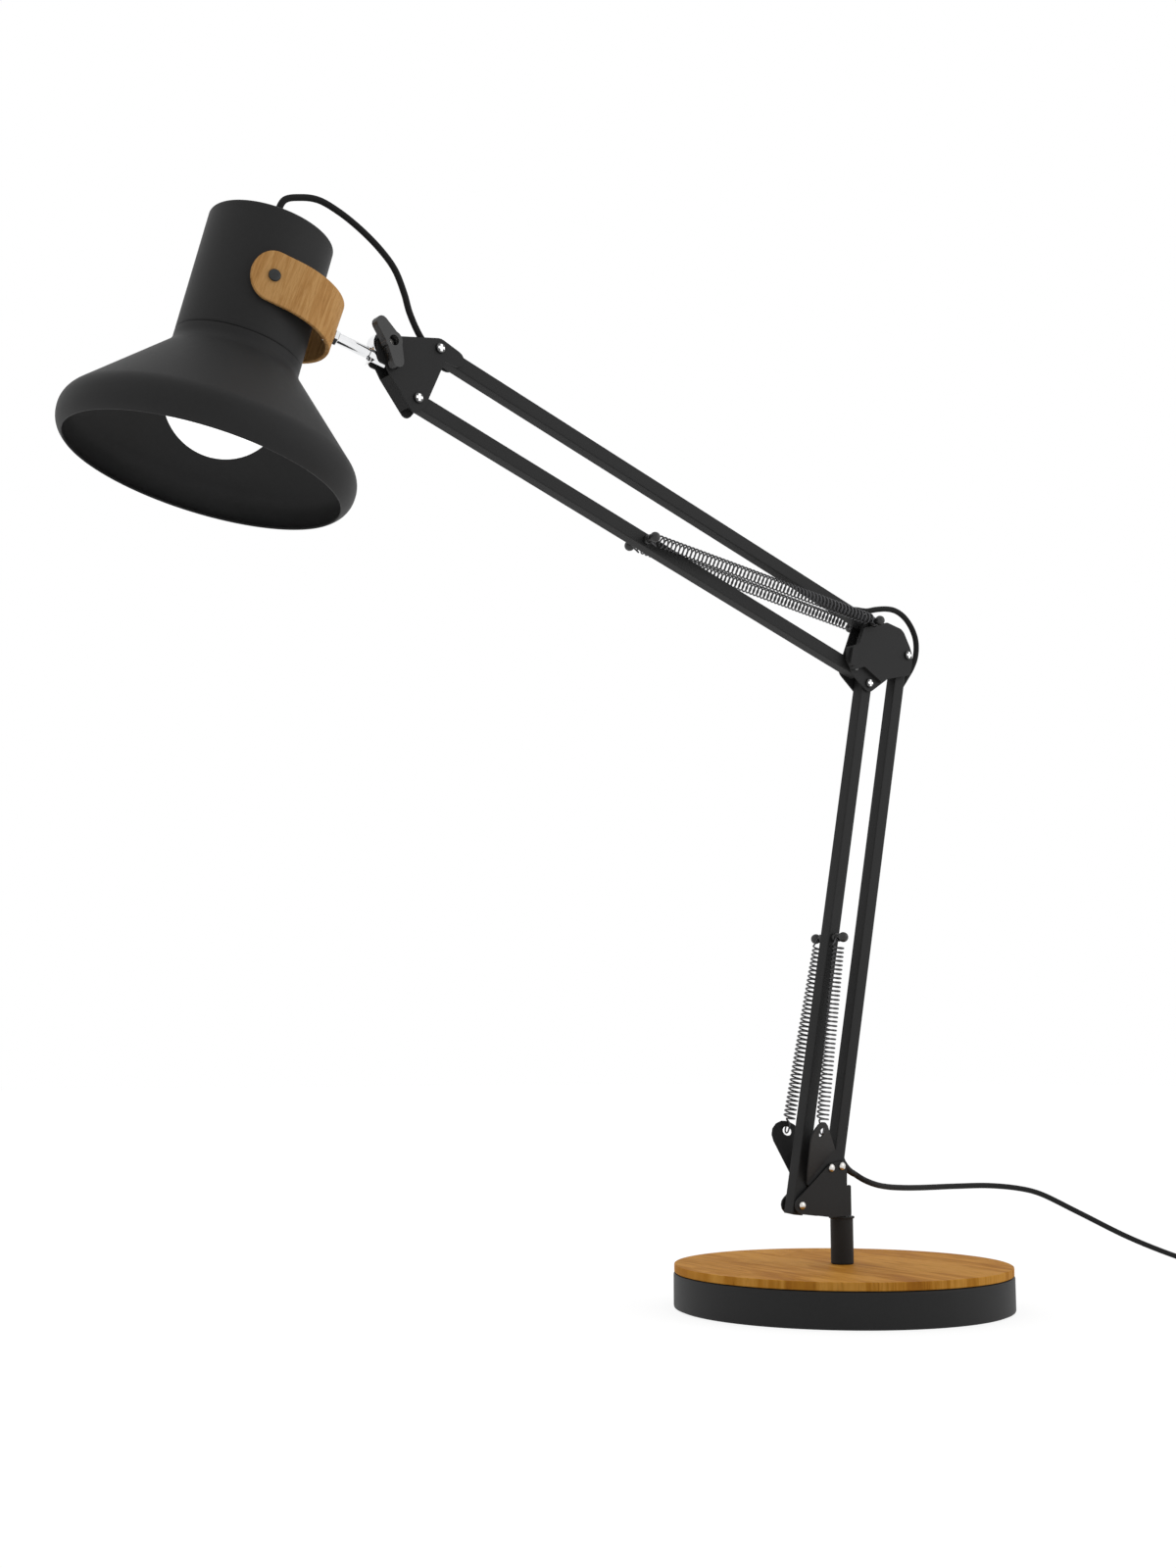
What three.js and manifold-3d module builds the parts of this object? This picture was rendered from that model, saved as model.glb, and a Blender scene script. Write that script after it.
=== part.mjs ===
// A balanced-arm desk lamp on a round base: a weighted base with a wooden top, a swivelling
// bracket, two parallelogram arms of square tube held by springs, and a spun-metal head in a
// bent-wood yoke. Millimetres, +Z up, the origin at the centre of the base's underside, the
// arms in the XZ plane, the head towards -X and the near side towards -Y.
import * as THREE from 'three';
import { mergeVertices } from 'three/addons/utils/BufferGeometryUtils.js';
import Module from 'manifold-3d';

const wasm = await Module();
wasm.setup();

// Fits that all pieces share
const seat = 0.3;
const overrun = 3;
const sheet = 1;

// Round base
const baseRadius = 95;
const baseHeight = 19.5;
const shellWall = 1.5;
const shellEdge = 1.4;
const shellFoot = 0.6;
const padThickness = 1.8;
const woodInset = 0.4;
const woodThickness = 4.5;
const woodEdge = 0.5;
const nutAcrossFlats = 16;
const nutHeight = 5;
const washerRadius = 11;
const washerThickness = 1;
const counterboreRadius = 14;
const counterboreDepth = 9;

// Upright socket for the arm, with its threaded shank through the base
const postRadius = 6.4;
const postHeight = 26.1;
const postLip = 0.8;
const postLipHeight = 1.2;
const shankRadius = 5;
const shankFoot = 4;
const swivelRadius = 3.7;
const swivelDepth = 20;

// Square tube of the arms
const tubeWidth = 8;
const tubeBreadth = 7.4;
const tubeWall = 0.9;
const tubeCorner = 0.8;
const tubeSideGap = 0.35;
const tubeEnd = 5;
const tubeElbowEnd = 4.2;
const tubeHeadEnd = 3.6;
const pinRadius = 1.5;
const rivetRadius = 2.3;
const rivetHeight = 1.4;

// Pivots of the lower arm: front and back in the bracket, then the arm's length and lean
const frontPivot = { x: -36, z: 58.3 };
const backPivot = { x: -5.1, z: 78.7 };
const lowerArmLength = 307;
const lowerArmLean = THREE.MathUtils.degToRad(11.55);

// Elbow pivots, measured from the front lower one, and the upper arm
const elbowStep = { x: -10, z: 8.1 };
const armSpacing = { x: 12.7, z: 29 };
const upperArmLength = 321.9;
const upperArmRise = THREE.MathUtils.degToRad(18.29);

// Swivelling bracket
const bracketBack = 1.8;
const bracketHeelTop = 68.1;
const bracketHeelFront = -14.4;
const bracketEar = 4.6;
const bracketCorner = 2.3;
const earRivet = { x: -13.3, z: 78 };
const backCorner = { x: -3.6, z: 79.2, radius: 2.6 };
const blockTop = 66;
const blockFront = -10;

// Spring ears on the bracket
const earSheet = 0.8;
const earHole = { x: -27.9, y: 14, z: 98.1 };
const earHoleRadius = 2.8;
const earHeadRadius = 8.6;
const earHeadShift = { along: -2.6, up: -1 };
const earFootRadius = 2.2;
const earFoldGap = 0.7;
const earFoldStart = 13.5;
const earFoldEnd = 38;

// Springs and the pins that they hook on
const springRadius = 3.2;
const springWire = 1;
const springCurls = 10;
const springSteps = 8;
const springSides = 5;
const springLead = 5.4;
const springEarLead = 10.2;
const lowerPinShare = 0.495;
const upperPinShare = 0.515;
const pinCollarRadius = 2.6;
const pinCollarLength = 2.3;
const pinGroove = 4.9;
const pinBallRadius = 2.9;
const pinGrooveRadius = 1.5;

// Elbow plates and the cover plate with its grip
const elbowEar = 5;
const coverWidth = 45.1;
const coverHeight = 37.3;
const coverSheet = 2;
const coverPivotShares = [0.898, 0.517];
const coverShares = [[0.095, 0.84], [0.528, 1], [0.79, 0.935], [0.845, 0.88], [0.95, 0.66],
  [0.985, 0.55], [0.984, 0.365], [0.933, 0.196], [0.503, 0.07], [0.412, 0], [0.091, 0.214],
  [0.031, 0.185], [-0.13, 0.14], [-0.22, 0.29], [-0.2, 0.49], [0, 0.566]];
const coverCorner = 1;
const gripLength = 11.5;
const gripWidth = 5;
const gripThickness = 2.2;
const gripShares = [-0.13, 0.34];
const gripLean = THREE.MathUtils.degToRad(-75);

// Head bracket, wing knob and its bolt
const clampStep = { x: -18.43, z: 24.3 };
const headEar = 5.4;
const headClampEar = { x: -0.3, z: -1.3, radius: 5.5 };
const headEarFoot = { x: -3, z: -8.3, radius: 2.1 };
const headEarHeel = { x: 3.8, z: -9.7, radius: 2.1 };
const headHeel = { x: -1.1, z: -4.8, radius: 3.4 };
const headToe = { x: 3.6, z: -14.1, radius: 2.2 };
const headGuard = { x: 10.5, z: -3.3, radius: 4.3 };
const headWallStart = 1.6;
const boltRadius = 1.9;
const boltHeadAcross = 7;
const boltHeadHeight = 2.6;
const knobHubRadius = 4.9;
const knobDepth = 6.4;
const knobRecessRadius = 2.7;
const knobRecess = 3.6;
const wingReach = 10.6;
const wingTip = 3.2;
const wingThickness = 5;
const wingAngles = [THREE.MathUtils.degToRad(131), THREE.MathUtils.degToRad(-75)];

// Stem and its eye, then the bent-wood yoke
const stemStep = { x: -5, z: -5.7 };
const stemRise = THREE.MathUtils.degToRad(16.4);
const stemTurn = THREE.MathUtils.degToRad(9.6);
const stemRoll = THREE.MathUtils.degToRad(2.6);
const stemLength = 22.6;
const stemRadius = 2.9;
const stemTailRadius = 1.9;
const stemTaper = 4;
const stemTail = 5;
const socketRadius = 3.6;
const socketReach = 2.4;
const stemHeadRadius = 4.4;
const stemHeadHeight = 1.8;
const eyeRadius = 7;
const eyeHalf = 3.4;
const yokeReach = 42.9;
const yokeEnd = 11;
const yokeThickness = 2.3;
const yokeWidth = 25;
const yokeBend = 33.6;
const yokeClearance = 0.8;
const yokeSegments = 7;

// Head: housing, shade, lampholder and lamp, along the head's own axis from the yoke's screws
const headTilt = THREE.MathUtils.degToRad(-3.06);
const housingRadius = 31.2;
const housingTop = 35.3;
const housingFoot = -28.5;
const housingWall = 1.2;
const housingEdge = 1.6;
const shadeWall = 1;
const shadeCollar = 6;
const shadeNeckDrop = 3;
const shadeConeStart = { radius: 34.4, drop: 9.5 };
const shadeConeEnd = { radius: 69, drop: 45 };
const shadeMax = { radius: 72.8, drop: 54 };
const shadeRim = { radius: 68.2, drop: 64 };
const yokeScrewRadius = 1.8;
const yokeScrewHead = 3;
const yokeScrewHeadHeight = 1.2;
const holderRadius = 18;
const holderBore = 13.9;
const holderWall = 2;
const holderLength = 34;
const nippleRadius = 5;
const nippleLength = 12;
const glandRadius = 4.2;
const glandHeight = 4.5;
const lampCapRadius = 13.2;
const lampCapLength = 31;
const lampGlobeRadius = 28.9;
const lampGlobeCentre = -53.8;
const lampNeckRadius = 15.5;

// Mains cord
const cordRadius = 1.7;
const cordSides = 8;
const slotWidth = 4.8;
const slotLength = 17;
// Points of the cord in its slots, as (share of the slot's length, drop from the tube's axis)
const upperSlotShares = [[1, 0.2], [0.86, 1.3], [0.66, 4.2]];
const lowerSlotShares = [[0.72, 1.7], [1, 0.2], [1.1, 0]];
const lowerRunShares = [2, 1.3];
const sleeveRadius = 2.1;
const runGap = 3 * seat;
const cordStepSpan = 3.5 * cordRadius;
const coilRadius = 24.6;
const coilPitch = 3.9;
const coilTurns = [2.5, 2.5, 2.5, 2];
const coilRise = 0.25;
const coilSteps = 20;
const coilSides = 5;
const coilTieTurn = THREE.MathUtils.degToRad(-195);
const tieWidth = 5;
const tieThickness = 0.9;
const tieGap = 0.2;
const tailLength = 52;
const tailDropStart = 0.3;
const plugLength = 38;
const plugWidth = 26;
const plugThickness = 13;
const plugNose = 8;
const plugBoot = 14;
const plugPinRadius = 2;
const plugPinLength = 19;
const plugPinSpacing = 19;
const plugPinRootShare = 0.6;

// Centre line of the free mains cord, from its sleeve to the coil
const freeCordRoute = [[13.4, 1.9, 73.1], [19.7, 2.7, 70.3], [32, 5.6, 66.9], [48.2, 11.3, 64.5],
  [68, 17.4, 62.9], [89.2, 23, 61.9], [126.8, 29.8, 61], [160.5, 32, 60], [186.1, 30.3, 57.4],
  [202.2, 28.2, 53.9], [233, 22.5, 41], [269.2, 12.8, 24.4], [300, 4.2, 12.6], [322, -1.6, 5.8],
  [342, -6.6, 2.7], [356, -10.1, 2.1], [370, -13.5, 2.05]];
const sleeveSteps = [[4.1, 0, 12.4], [4.2, 0, 8.8], [4.7, 0, 5.7], [6.2, 0, 2.4], [8.8, 0.2, -0.5],
  [11.4, 0.6, -2.4], [14.2, 1.2, -3.9], [18.23, 1.87, -5.5]];
// Cord from the gland to the top tube's mouth, and round the elbow, as steps from the pins there
const headCordSteps = [[-84.5, 6.6, 60.6], [-76, 6.2, 64.3], [-66, 5.7, 65.6], [-54.7, 5, 62.3],
  [-41.9, 4.1, 55.6], [-30.4, 3.2, 47.1], [-22.9, 2.6, 39], [-17.6, 1.8, 27.3], [-14.8, 1.2, 18],
  [-11, 0.6, 9.9], [-8.1, 0.3, 5.4], [-5.6, 0.1, 2.6]];
const elbowCordSteps = [[-26.8, 24.9], [-18.3, 27.1], [-9.2, 28.7], [-2.2, 28.6], [4.8, 26.1],
  [10.8, 21], [14.7, 14.2], [15.5, 7.7], [14.2, 0.9], [10.4, -6.1], [6.2, -11.5]];

// Finishes
const finish = (color, roughness, metalness) => (
  new THREE.MeshStandardMaterial({ color, roughness, metalness }));
const blackPaint = finish(0x2b2b2b, 0.55, 0.2);
const wood = finish(0xb07a3c, 0.6, 0);
const bentWood = finish(0xb98448, 0.55, 0);
const steel = finish(0xb9b4ac, 0.3, 0.9);
const chrome = finish(0xe2e4e6, 0.12, 1);
const castIron = finish(0x3a3a3c, 0.8, 0.4);
const blackPlastic = finish(0x202020, 0.5, 0);
const rubber = finish(0x191919, 0.8, 0);
const glass = finish(0xfafafa, 0.4, 0);
const brass = finish(0xc9a25a, 0.35, 0.9);

const lamp = new THREE.Group();

// A node is one named mesh in its group
function node(name, geometry, material, parent = lamp) {
  const mesh = new THREE.Mesh(closed(geometry), material);
  mesh.name = name;
  parent.add(mesh);
  return mesh;
}

// Plain closed triangles with merged corners, turned so that the faces point out
function closed(geometry) {
  const bare = geometry.clone();
  for (const key of Object.keys(bare.attributes)) {
    if (key !== 'position') bare.deleteAttribute(key);
  }
  const merged = mergeVertices(bare, seat / 1000);
  const index = [];
  const source = merged.index.array;
  for (let i = 0; i < source.length; i += 3) {
    const [a, b, c] = [source[i], source[i + 1], source[i + 2]];
    if (a !== b && b !== c && c !== a) index.push(a, b, c);
  }
  const place = merged.attributes.position;
  const corner = (k) => new THREE.Vector3().fromBufferAttribute(place, k);
  let volume = 0;
  for (let i = 0; i < index.length; i += 3) {
    const [a, b, c] = [corner(index[i]), corner(index[i + 1]), corner(index[i + 2])];
    volume += a.dot(b.cross(c));
  }
  if (volume < 0) {
    for (let i = 0; i < index.length; i += 3) {
      [index[i + 1], index[i + 2]] = [index[i + 2], index[i + 1]];
    }
  }
  merged.setIndex(index);
  return merged;
}

function solid(geometry) {
  const shape = closed(geometry);
  return new wasm.Manifold(new wasm.Mesh({
    numProp: 3,
    vertProperties: new Float32Array(shape.attributes.position.array),
    triVerts: new Uint32Array(shape.index.array),
  }));
}

function geometryOf(manifold) {
  const mesh = manifold.getMesh();
  const geometry = new THREE.BufferGeometry();
  geometry.setAttribute('position', new THREE.BufferAttribute(mesh.vertProperties, 3));
  geometry.setIndex(new THREE.BufferAttribute(mesh.triVerts, 1));
  return geometry;
}

// Joins the first geometries and cuts the others away
function shaped(joined, cut = []) {
  let result = solid(joined[0]);
  for (const piece of joined.slice(1)) result = result.add(solid(piece));
  for (const piece of cut) result = result.subtract(solid(piece));
  return geometryOf(result);
}

// A turned piece on Z from (radius, height) points that start and end on the axis, or close
function turned(points, segments = 20) {
  const profile = points.map(([radius, height]) => new THREE.Vector2(radius, height));
  return new THREE.LatheGeometry(profile, segments).rotateX(Math.PI / 2);
}

function ring(inner, outer, low, high, segments) {
  return turned([[inner, low], [outer, low], [outer, high], [inner, high], [inner, low]], segments);
}

function rod(radius, low, high, segments = 16) {
  return turned([[0, low], [radius, low], [radius, high], [0, high]], segments);
}

// The same pieces with their axis across the arm's plane, at a pivot
const across = (geometry, at) => geometry.rotateX(Math.PI / 2).translate(at.x, 0, at.z);
const pinHole = (at, radius, reach, segments = 12) => (
  across(rod(radius, -reach, reach, segments), at));

// A plate in the arm's plane between two distances from it
function plate(outline, low, high) {
  const settings = { depth: high - low, bevelEnabled: false, curveSegments: 3 };
  return new THREE.ExtrudeGeometry(outline, settings).rotateX(Math.PI / 2).translate(0, high, 0);
}

// Outline drawn round circles like a belt, counter-clockwise
function belt(circles) {
  const shape = new THREE.Shape();
  const edges = circles.map((from, i) => {
    const to = circles[(i + 1) % circles.length];
    const [dx, dz] = [to.x - from.x, to.z - from.z];
    return Math.atan2(dz, dx) - Math.acos((from.radius - to.radius) / Math.hypot(dx, dz));
  });
  circles.forEach(({ x, z, radius }, i) => {
    const start = edges[(i + circles.length - 1) % circles.length];
    let end = edges[i];
    while (end < start) end += 2 * Math.PI;
    if (i === 0) shape.moveTo(x + radius * Math.cos(start), z + radius * Math.sin(start));
    shape.absarc(x, z, radius, start, end, false);
  });
  return shape;
}

// Polygon whose corners are rounded off
function roundedOutline(corners, radius) {
  const shape = new THREE.Shape();
  const spot = ([x, y]) => new THREE.Vector2(x, y);
  corners.forEach((corner, i) => {
    const here = spot(corner);
    const before = spot(corners[(i + corners.length - 1) % corners.length]);
    const after = spot(corners[(i + 1) % corners.length]);
    const inTo = before.sub(here);
    const outTo = after.sub(here);
    const start = here.clone().add(inTo.setLength(Math.min(radius, inTo.length() / 2)));
    const end = here.clone().add(outTo.setLength(Math.min(radius, outTo.length() / 2)));
    if (i === 0) shape.moveTo(start.x, start.y);
    else shape.lineTo(start.x, start.y);
    shape.quadraticCurveTo(here.x, here.y, end.x, end.y);
  });
  shape.closePath();
  return shape;
}

function polygon(sides, across, turn = 0) {
  const reach = across / 2 / Math.cos(Math.PI / sides);
  const shape = new THREE.Shape();
  for (let i = 0; i < sides; i += 1) {
    const angle = turn + (2 * Math.PI * i) / sides;
    const [x, y] = [reach * Math.cos(angle), reach * Math.sin(angle)];
    if (i === 0) shape.moveTo(x, y);
    else shape.lineTo(x, y);
  }
  shape.closePath();
  return shape;
}

const extruded = (shape, depth, curveSegments = 4) => (
  new THREE.ExtrudeGeometry(shape, { depth, bevelEnabled: false, curveSegments }));

// A tube of flat sides swept along points, joined in one skin with closed ends
function sweptTube(points, radius, sides) {
  const vertices = [];
  const index = [];
  const tangents = points.map((point, i) => {
    const next = points[Math.min(i + 1, points.length - 1)];
    return next.clone().sub(points[Math.max(i - 1, 0)]).normalize();
  });
  const first = tangents[0];
  const guide = Math.abs(first.z) < 0.9 ? new THREE.Vector3(0, 0, 1) : new THREE.Vector3(1, 0, 0);
  let normal = guide.cross(first).normalize();
  points.forEach((point, i) => {
    normal = normal.clone().addScaledVector(tangents[i], -normal.dot(tangents[i])).normalize();
    const side = tangents[i].clone().cross(normal);
    for (let k = 0; k < sides; k += 1) {
      const angle = (2 * Math.PI * k) / sides;
      const spot = point.clone().addScaledVector(normal, radius * Math.cos(angle))
        .addScaledVector(side, radius * Math.sin(angle));
      vertices.push(spot.x, spot.y, spot.z);
    }
  });
  for (let i = 0; i + 1 < points.length; i += 1) {
    for (let k = 0; k < sides; k += 1) {
      const [a, b] = [i * sides + k, i * sides + ((k + 1) % sides)];
      index.push(a, b, b + sides, a, b + sides, a + sides);
    }
  }
  const last = (points.length - 1) * sides;
  for (let k = 1; k + 1 < sides; k += 1) {
    index.push(0, k + 1, k);
    index.push(last, last + k, last + k + 1);
  }
  const geometry = new THREE.BufferGeometry();
  geometry.setAttribute('position', new THREE.Float32BufferAttribute(vertices, 3));
  geometry.setIndex(index);
  return closed(geometry);
}

// A cord along a smooth curve through points chosen by hand
const smoothCurve = (points) => (
  new THREE.CatmullRomCurve3(points.map((p) => new THREE.Vector3(...p)), false, 'centripetal'));

function cordTube(points, radius, steps) {
  return sweptTube(smoothCurve(points).getSpacedPoints(steps), radius, cordSides);
}

const cordSteps = (points) => {
  const curve = smoothCurve(points);
  return Math.max(2, Math.round(curve.getLength() / cordStepSpan));
};

// Least distance between parts of a wound wire that are more than half a turn apart
function leastGap(name, points, radius, skip) {
  let least = Infinity;
  for (let i = 0; i < points.length; i += 1) {
    for (let k = i + skip; k < points.length; k += 1) {
      least = Math.min(least, points[i].distanceTo(points[k]));
    }
  }
  console.log(`${name}: least gap to itself ${(least - 2 * radius).toFixed(2)} mm`);
}

// Layers of sheet on each side of the tubes, counted outwards from the arm's plane
const tubeFace = tubeBreadth / 2;
const innerLow = tubeFace + tubeSideGap;
const innerHigh = innerLow + sheet;
const earHigh = innerLow + earSheet;
const bracketLow = earHigh + seat;
const bracketHigh = bracketLow + sheet;
const coverLow = innerHigh + seat;
const coverHigh = coverLow + coverSheet;

// Pivots in the arm's plane, worked out from the lengths and angles
const armUp = { x: Math.sin(lowerArmLean), z: Math.cos(lowerArmLean) };
const along = (from, direction, distance) => (
  { x: from.x + direction.x * distance, z: from.z + direction.z * distance });
const shifted = (from, step) => ({ x: from.x + step.x, z: from.z + step.z });
const elbowFront = along(frontPivot, armUp, lowerArmLength);
const elbowBack = along(backPivot, armUp, lowerArmLength);
const elbowLower = shifted(elbowFront, elbowStep);
const elbowUpper = shifted(elbowLower, armSpacing);
const armOut = { x: -Math.cos(upperArmRise), z: Math.sin(upperArmRise) };
const headLower = along(elbowLower, armOut, upperArmLength);
const headUpper = shifted(headLower, armSpacing);
const clampPivot = shifted(headLower, clampStep);
const stemCross = shifted(clampPivot, stemStep);

// Round base: painted shell, cast weight, pad underneath and wooden top
const woodRadius = baseRadius - woodInset;
const woodLow = baseHeight + seat;
const woodTop = woodLow + woodThickness;
const shellInside = baseRadius - shellWall;
const shankHole = shankRadius + seat;
const weightTop = baseHeight - shellWall - seat;
const weightFoot = padThickness + seat;
const counterTop = weightFoot + counterboreDepth;

function baseShell() {
  const profile = [[shankHole, baseHeight - shellWall], [shellInside, baseHeight - shellWall],
    [shellInside, shellFoot], [baseRadius - shellEdge / 2, shellFoot],
    [baseRadius, shellFoot + shellEdge / 2]];
  for (let i = 0; i <= 2; i += 1) {
    const angle = (Math.PI / 2) * (i / 2);
    profile.push([baseRadius - shellEdge * (1 - Math.cos(angle)),
      baseHeight - shellEdge * (1 - Math.sin(angle))]);
  }
  profile.push([shankHole, baseHeight], profile[0]);
  return turned(profile, 42);
}

node('base_shell', baseShell(), blackPaint);
node('base_weight', turned([[shankHole, counterTop], [counterboreRadius, counterTop],
  [counterboreRadius, weightFoot], [shellInside - seat, weightFoot], [shellInside - seat, weightTop],
  [shankHole, weightTop], [shankHole, counterTop]], 32), castIron);
node('base_pad', rod(shellInside - seat, 0, padThickness, 32), rubber);
node('wood_top', turned([[shankHole, woodLow], [woodRadius - woodEdge, woodLow],
  [woodRadius, woodLow + woodEdge], [woodRadius, woodTop - woodEdge], [woodRadius - woodEdge, woodTop],
  [shankHole, woodTop], [shankHole, woodLow]], 42), wood);

// Upright post: a socket on top, a threaded shank through the base, a washer and nut below
const postFoot = woodTop + seat;
const postTop = postFoot + postHeight;
const socketFloor = postTop - swivelDepth;
node('post', turned([[0, shankFoot], [shankRadius, shankFoot], [shankRadius, postFoot],
  [postRadius, postFoot], [postRadius, postTop - postLipHeight],
  [postRadius + postLip, postTop - postLipHeight], [postRadius + postLip, postTop],
  [swivelRadius + seat, postTop], [swivelRadius + seat, socketFloor], [0, socketFloor]]), blackPaint);
const washerTop = counterTop - seat;
const nutTop = washerTop - washerThickness - seat;
node('post_washer', ring(shankHole, washerRadius, washerTop - washerThickness, washerTop), steel);
const nutBlank = extruded(polygon(6, nutAcrossFlats), nutHeight).translate(0, 0, nutTop - nutHeight);
node('post_nut', shaped([nutBlank], [rod(shankHole, 0, nutTop + overrun)]), steel);

// Swivelling bracket: a pin with a flat head between two plates that stand on the post
const bracketFoot = postTop + seat;
const blockHalf = bracketLow - seat;
node('swivel_pin', shaped([
  rod(swivelRadius, socketFloor + seat, blockTop - seat),
  new THREE.BoxGeometry(bracketBack - seat - blockFront, 2 * blockHalf, blockTop - bracketFoot)
    .translate((bracketBack - seat + blockFront) / 2, 0, (blockTop + bracketFoot) / 2),
]), steel);

function bracketPlate(side) {
  const upper = belt([{ ...frontPivot, radius: bracketEar },
    { x: backCorner.x, z: bracketHeelTop - bracketCorner, radius: bracketCorner },
    backCorner, { ...earRivet, radius: bracketCorner }]);
  const heel = belt([{ ...frontPivot, radius: bracketEar },
    { x: bracketHeelFront, z: bracketFoot + bracketCorner / 2, radius: bracketCorner / 2 },
    { x: bracketBack - sheet, z: bracketFoot + sheet, radius: sheet },
    { x: bracketBack - sheet, z: bracketHeelTop - sheet, radius: sheet }]);
  const [low, high] = side < 0 ? [-bracketHigh, -bracketLow] : [bracketLow, bracketHigh];
  const holes = [frontPivot, backPivot, earRivet]
    .map((at) => pinHole(at, pinRadius + seat, bracketHigh + overrun));
  return shaped([plate(upper, low, high), plate(heel, low, high)], holes);
}

const sides = [['near', -1], ['far', 1]];
for (const [word, side] of sides) node(`bracket_plate_${word}`, bracketPlate(side), blackPaint);

// Rivets and pins across the arm's plane: a shank and a domed head at each end
function domed(shank, height, headRadius, headHeight) {
  const points = [[0, -height], [shank, -height], [shank, height], [headRadius, height]];
  for (let i = 1; i <= 2; i += 1) {
    const angle = (Math.PI / 2) * (i / 2);
    points.push([headRadius * Math.cos(angle), height + headHeight * Math.sin(angle)]);
  }
  return points;
}

function rivet(at, reach, farReach = reach) {
  const head = domed(pinRadius, reach + seat, rivetRadius, rivetHeight);
  const far = [...domed(pinRadius, farReach + seat, rivetRadius, rivetHeight)].slice(2).reverse()
    .map(([radius, height]) => [radius, -height]);
  return across(turned([...far, ...head.slice(2)], 12), at);
}

// A short rivet through one side only, leaving the inside of the tube free
function sideRivet(at, low, high, side) {
  const head = domed(pinRadius, high + seat, rivetRadius, rivetHeight).slice(2);
  const points = [[0, low], [pinRadius, low], ...head];
  const turnedPin = turned(points, 12);
  if (side > 0) turnedPin.rotateX(Math.PI);
  return across(turnedPin, at);
}

node('bracket_front_pin', rivet(frontPivot, bracketHigh), steel);
node('bracket_back_pin', rivet(backPivot, bracketHigh), steel);

// Spring ears: a flat foot beside the tubes and a head that leans out to the spring's line
const foldFrom = { ...frontPivot };
const foldDirection = Math.atan2(earRivet.z + bracketCorner - frontPivot.z - bracketEar,
  earRivet.x - bracketCorner - frontPivot.x);
const foldAlong = { x: Math.cos(foldDirection), z: Math.sin(foldDirection) };
const foldUp = { x: -foldAlong.z, z: foldAlong.x };
const foldOrigin = along(foldFrom, foldUp, bracketEar + earFoldGap);
const earMiddle = (innerLow + earHigh) / 2;
const holeStep = { x: earHole.x - foldOrigin.x, z: earHole.z - foldOrigin.z };
const holeAlong = holeStep.x * foldAlong.x + holeStep.z * foldAlong.z;
const holeUp = holeStep.x * foldUp.x + holeStep.z * foldUp.z;
const earLean = Math.atan2(earHole.y - earMiddle, holeUp);
const holeReach = Math.hypot(earHole.y - earMiddle, holeUp);

function springEar(side) {
  const foldEnds = [earFoldStart, earFoldEnd].map((x) => ({ x, z: 0, radius: earFootRadius }));
  const head = belt([foldEnds[0], foldEnds[1],
    { x: holeAlong + earHeadShift.along, z: holeReach + earHeadShift.up, radius: earHeadRadius }]);
  const tall = 2 * holeReach + 4 * earHeadRadius;
  const keep = new THREE.BoxGeometry(4 * earFoldEnd, 4 * earHeadRadius, tall);
  const headSlab = solid(plate(head, -earSheet / 2, earSheet / 2))
    .intersect(solid(keep.clone().translate(0, 0, holeReach + 2 * earHeadRadius)))
    .subtract(solid(pinHole({ x: holeAlong, z: holeReach }, earHoleRadius, overrun)));
  const headPart = geometryOf(headSlab).rotateX(-side * earLean);
  const toLocal = (at, radius) => {
    const step = { x: at.x - foldOrigin.x, z: at.z - foldOrigin.z };
    const [x, z] = [foldAlong, foldUp].map((way) => step.x * way.x + step.z * way.z);
    return { x, z, radius };
  };
  const foot = belt([foldEnds[0], toLocal(backPivot, earFootRadius + sheet), foldEnds[1]]);
  const footSlab = geometryOf(solid(plate(foot, -earSheet / 2, earSheet / 2))
    .intersect(solid(keep.translate(0, 0, -holeReach - 2 * earHeadRadius + earSheet / 4))));
  const joined = geometryOf(solid(headPart).add(solid(footSlab)))
    .rotateY(-foldDirection).translate(foldOrigin.x, side * earMiddle, foldOrigin.z);
  const holes = [earRivet, backPivot].map((at) => pinHole(at, pinRadius + seat, bracketHigh));
  return shaped([joined], holes);
}

for (const [word, side] of sides) {
  node(`spring_ear_${word}`, springEar(side), blackPaint);
  node(`ear_rivet_${word}`, sideRivet(earRivet, innerLow, bracketHigh, side), steel);
}

// Arm tubes: square tube with rounded corners, open ends, pin holes and slots for the cord
function armTube(length, startEnd, finishEnd, cuts) {
  const box = (breadth, width, corner) => roundedOutline([[-breadth / 2, -width / 2],
    [breadth / 2, -width / 2], [breadth / 2, width / 2], [-breadth / 2, width / 2]], corner);
  const outline = box(tubeBreadth, tubeWidth, tubeCorner);
  outline.holes.push(box(tubeBreadth - 2 * tubeWall, tubeWidth - 2 * tubeWall, 0));
  const tube = new THREE.ExtrudeGeometry(outline,
    { depth: length + startEnd + finishEnd, bevelEnabled: false, curveSegments: 2 })
    .rotateZ(Math.PI / 2).rotateY(Math.PI / 2).translate(-startEnd, 0, 0);
  return shaped([tube], cuts);
}

// Slot in one wall of a tube, from one distance along it to another
function slot(from, to, side) {
  return new THREE.BoxGeometry(to - from, slotWidth, tubeWidth)
    .translate((from + to) / 2, 0, (side * tubeWidth) / 2);
}

const tubeHole = (distance) => pinHole({ x: distance, z: 0 }, pinRadius + seat, tubeBreadth);

// A tube lies along its local X; its mesh is turned and placed at its first pivot
function placeTube(name, geometry, pivot, direction) {
  const mesh = node(name, geometry, blackPaint);
  mesh.rotation.y = -Math.atan2(direction.z, direction.x);
  mesh.position.set(pivot.x, 0, pivot.z);
  return mesh;
}

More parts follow.
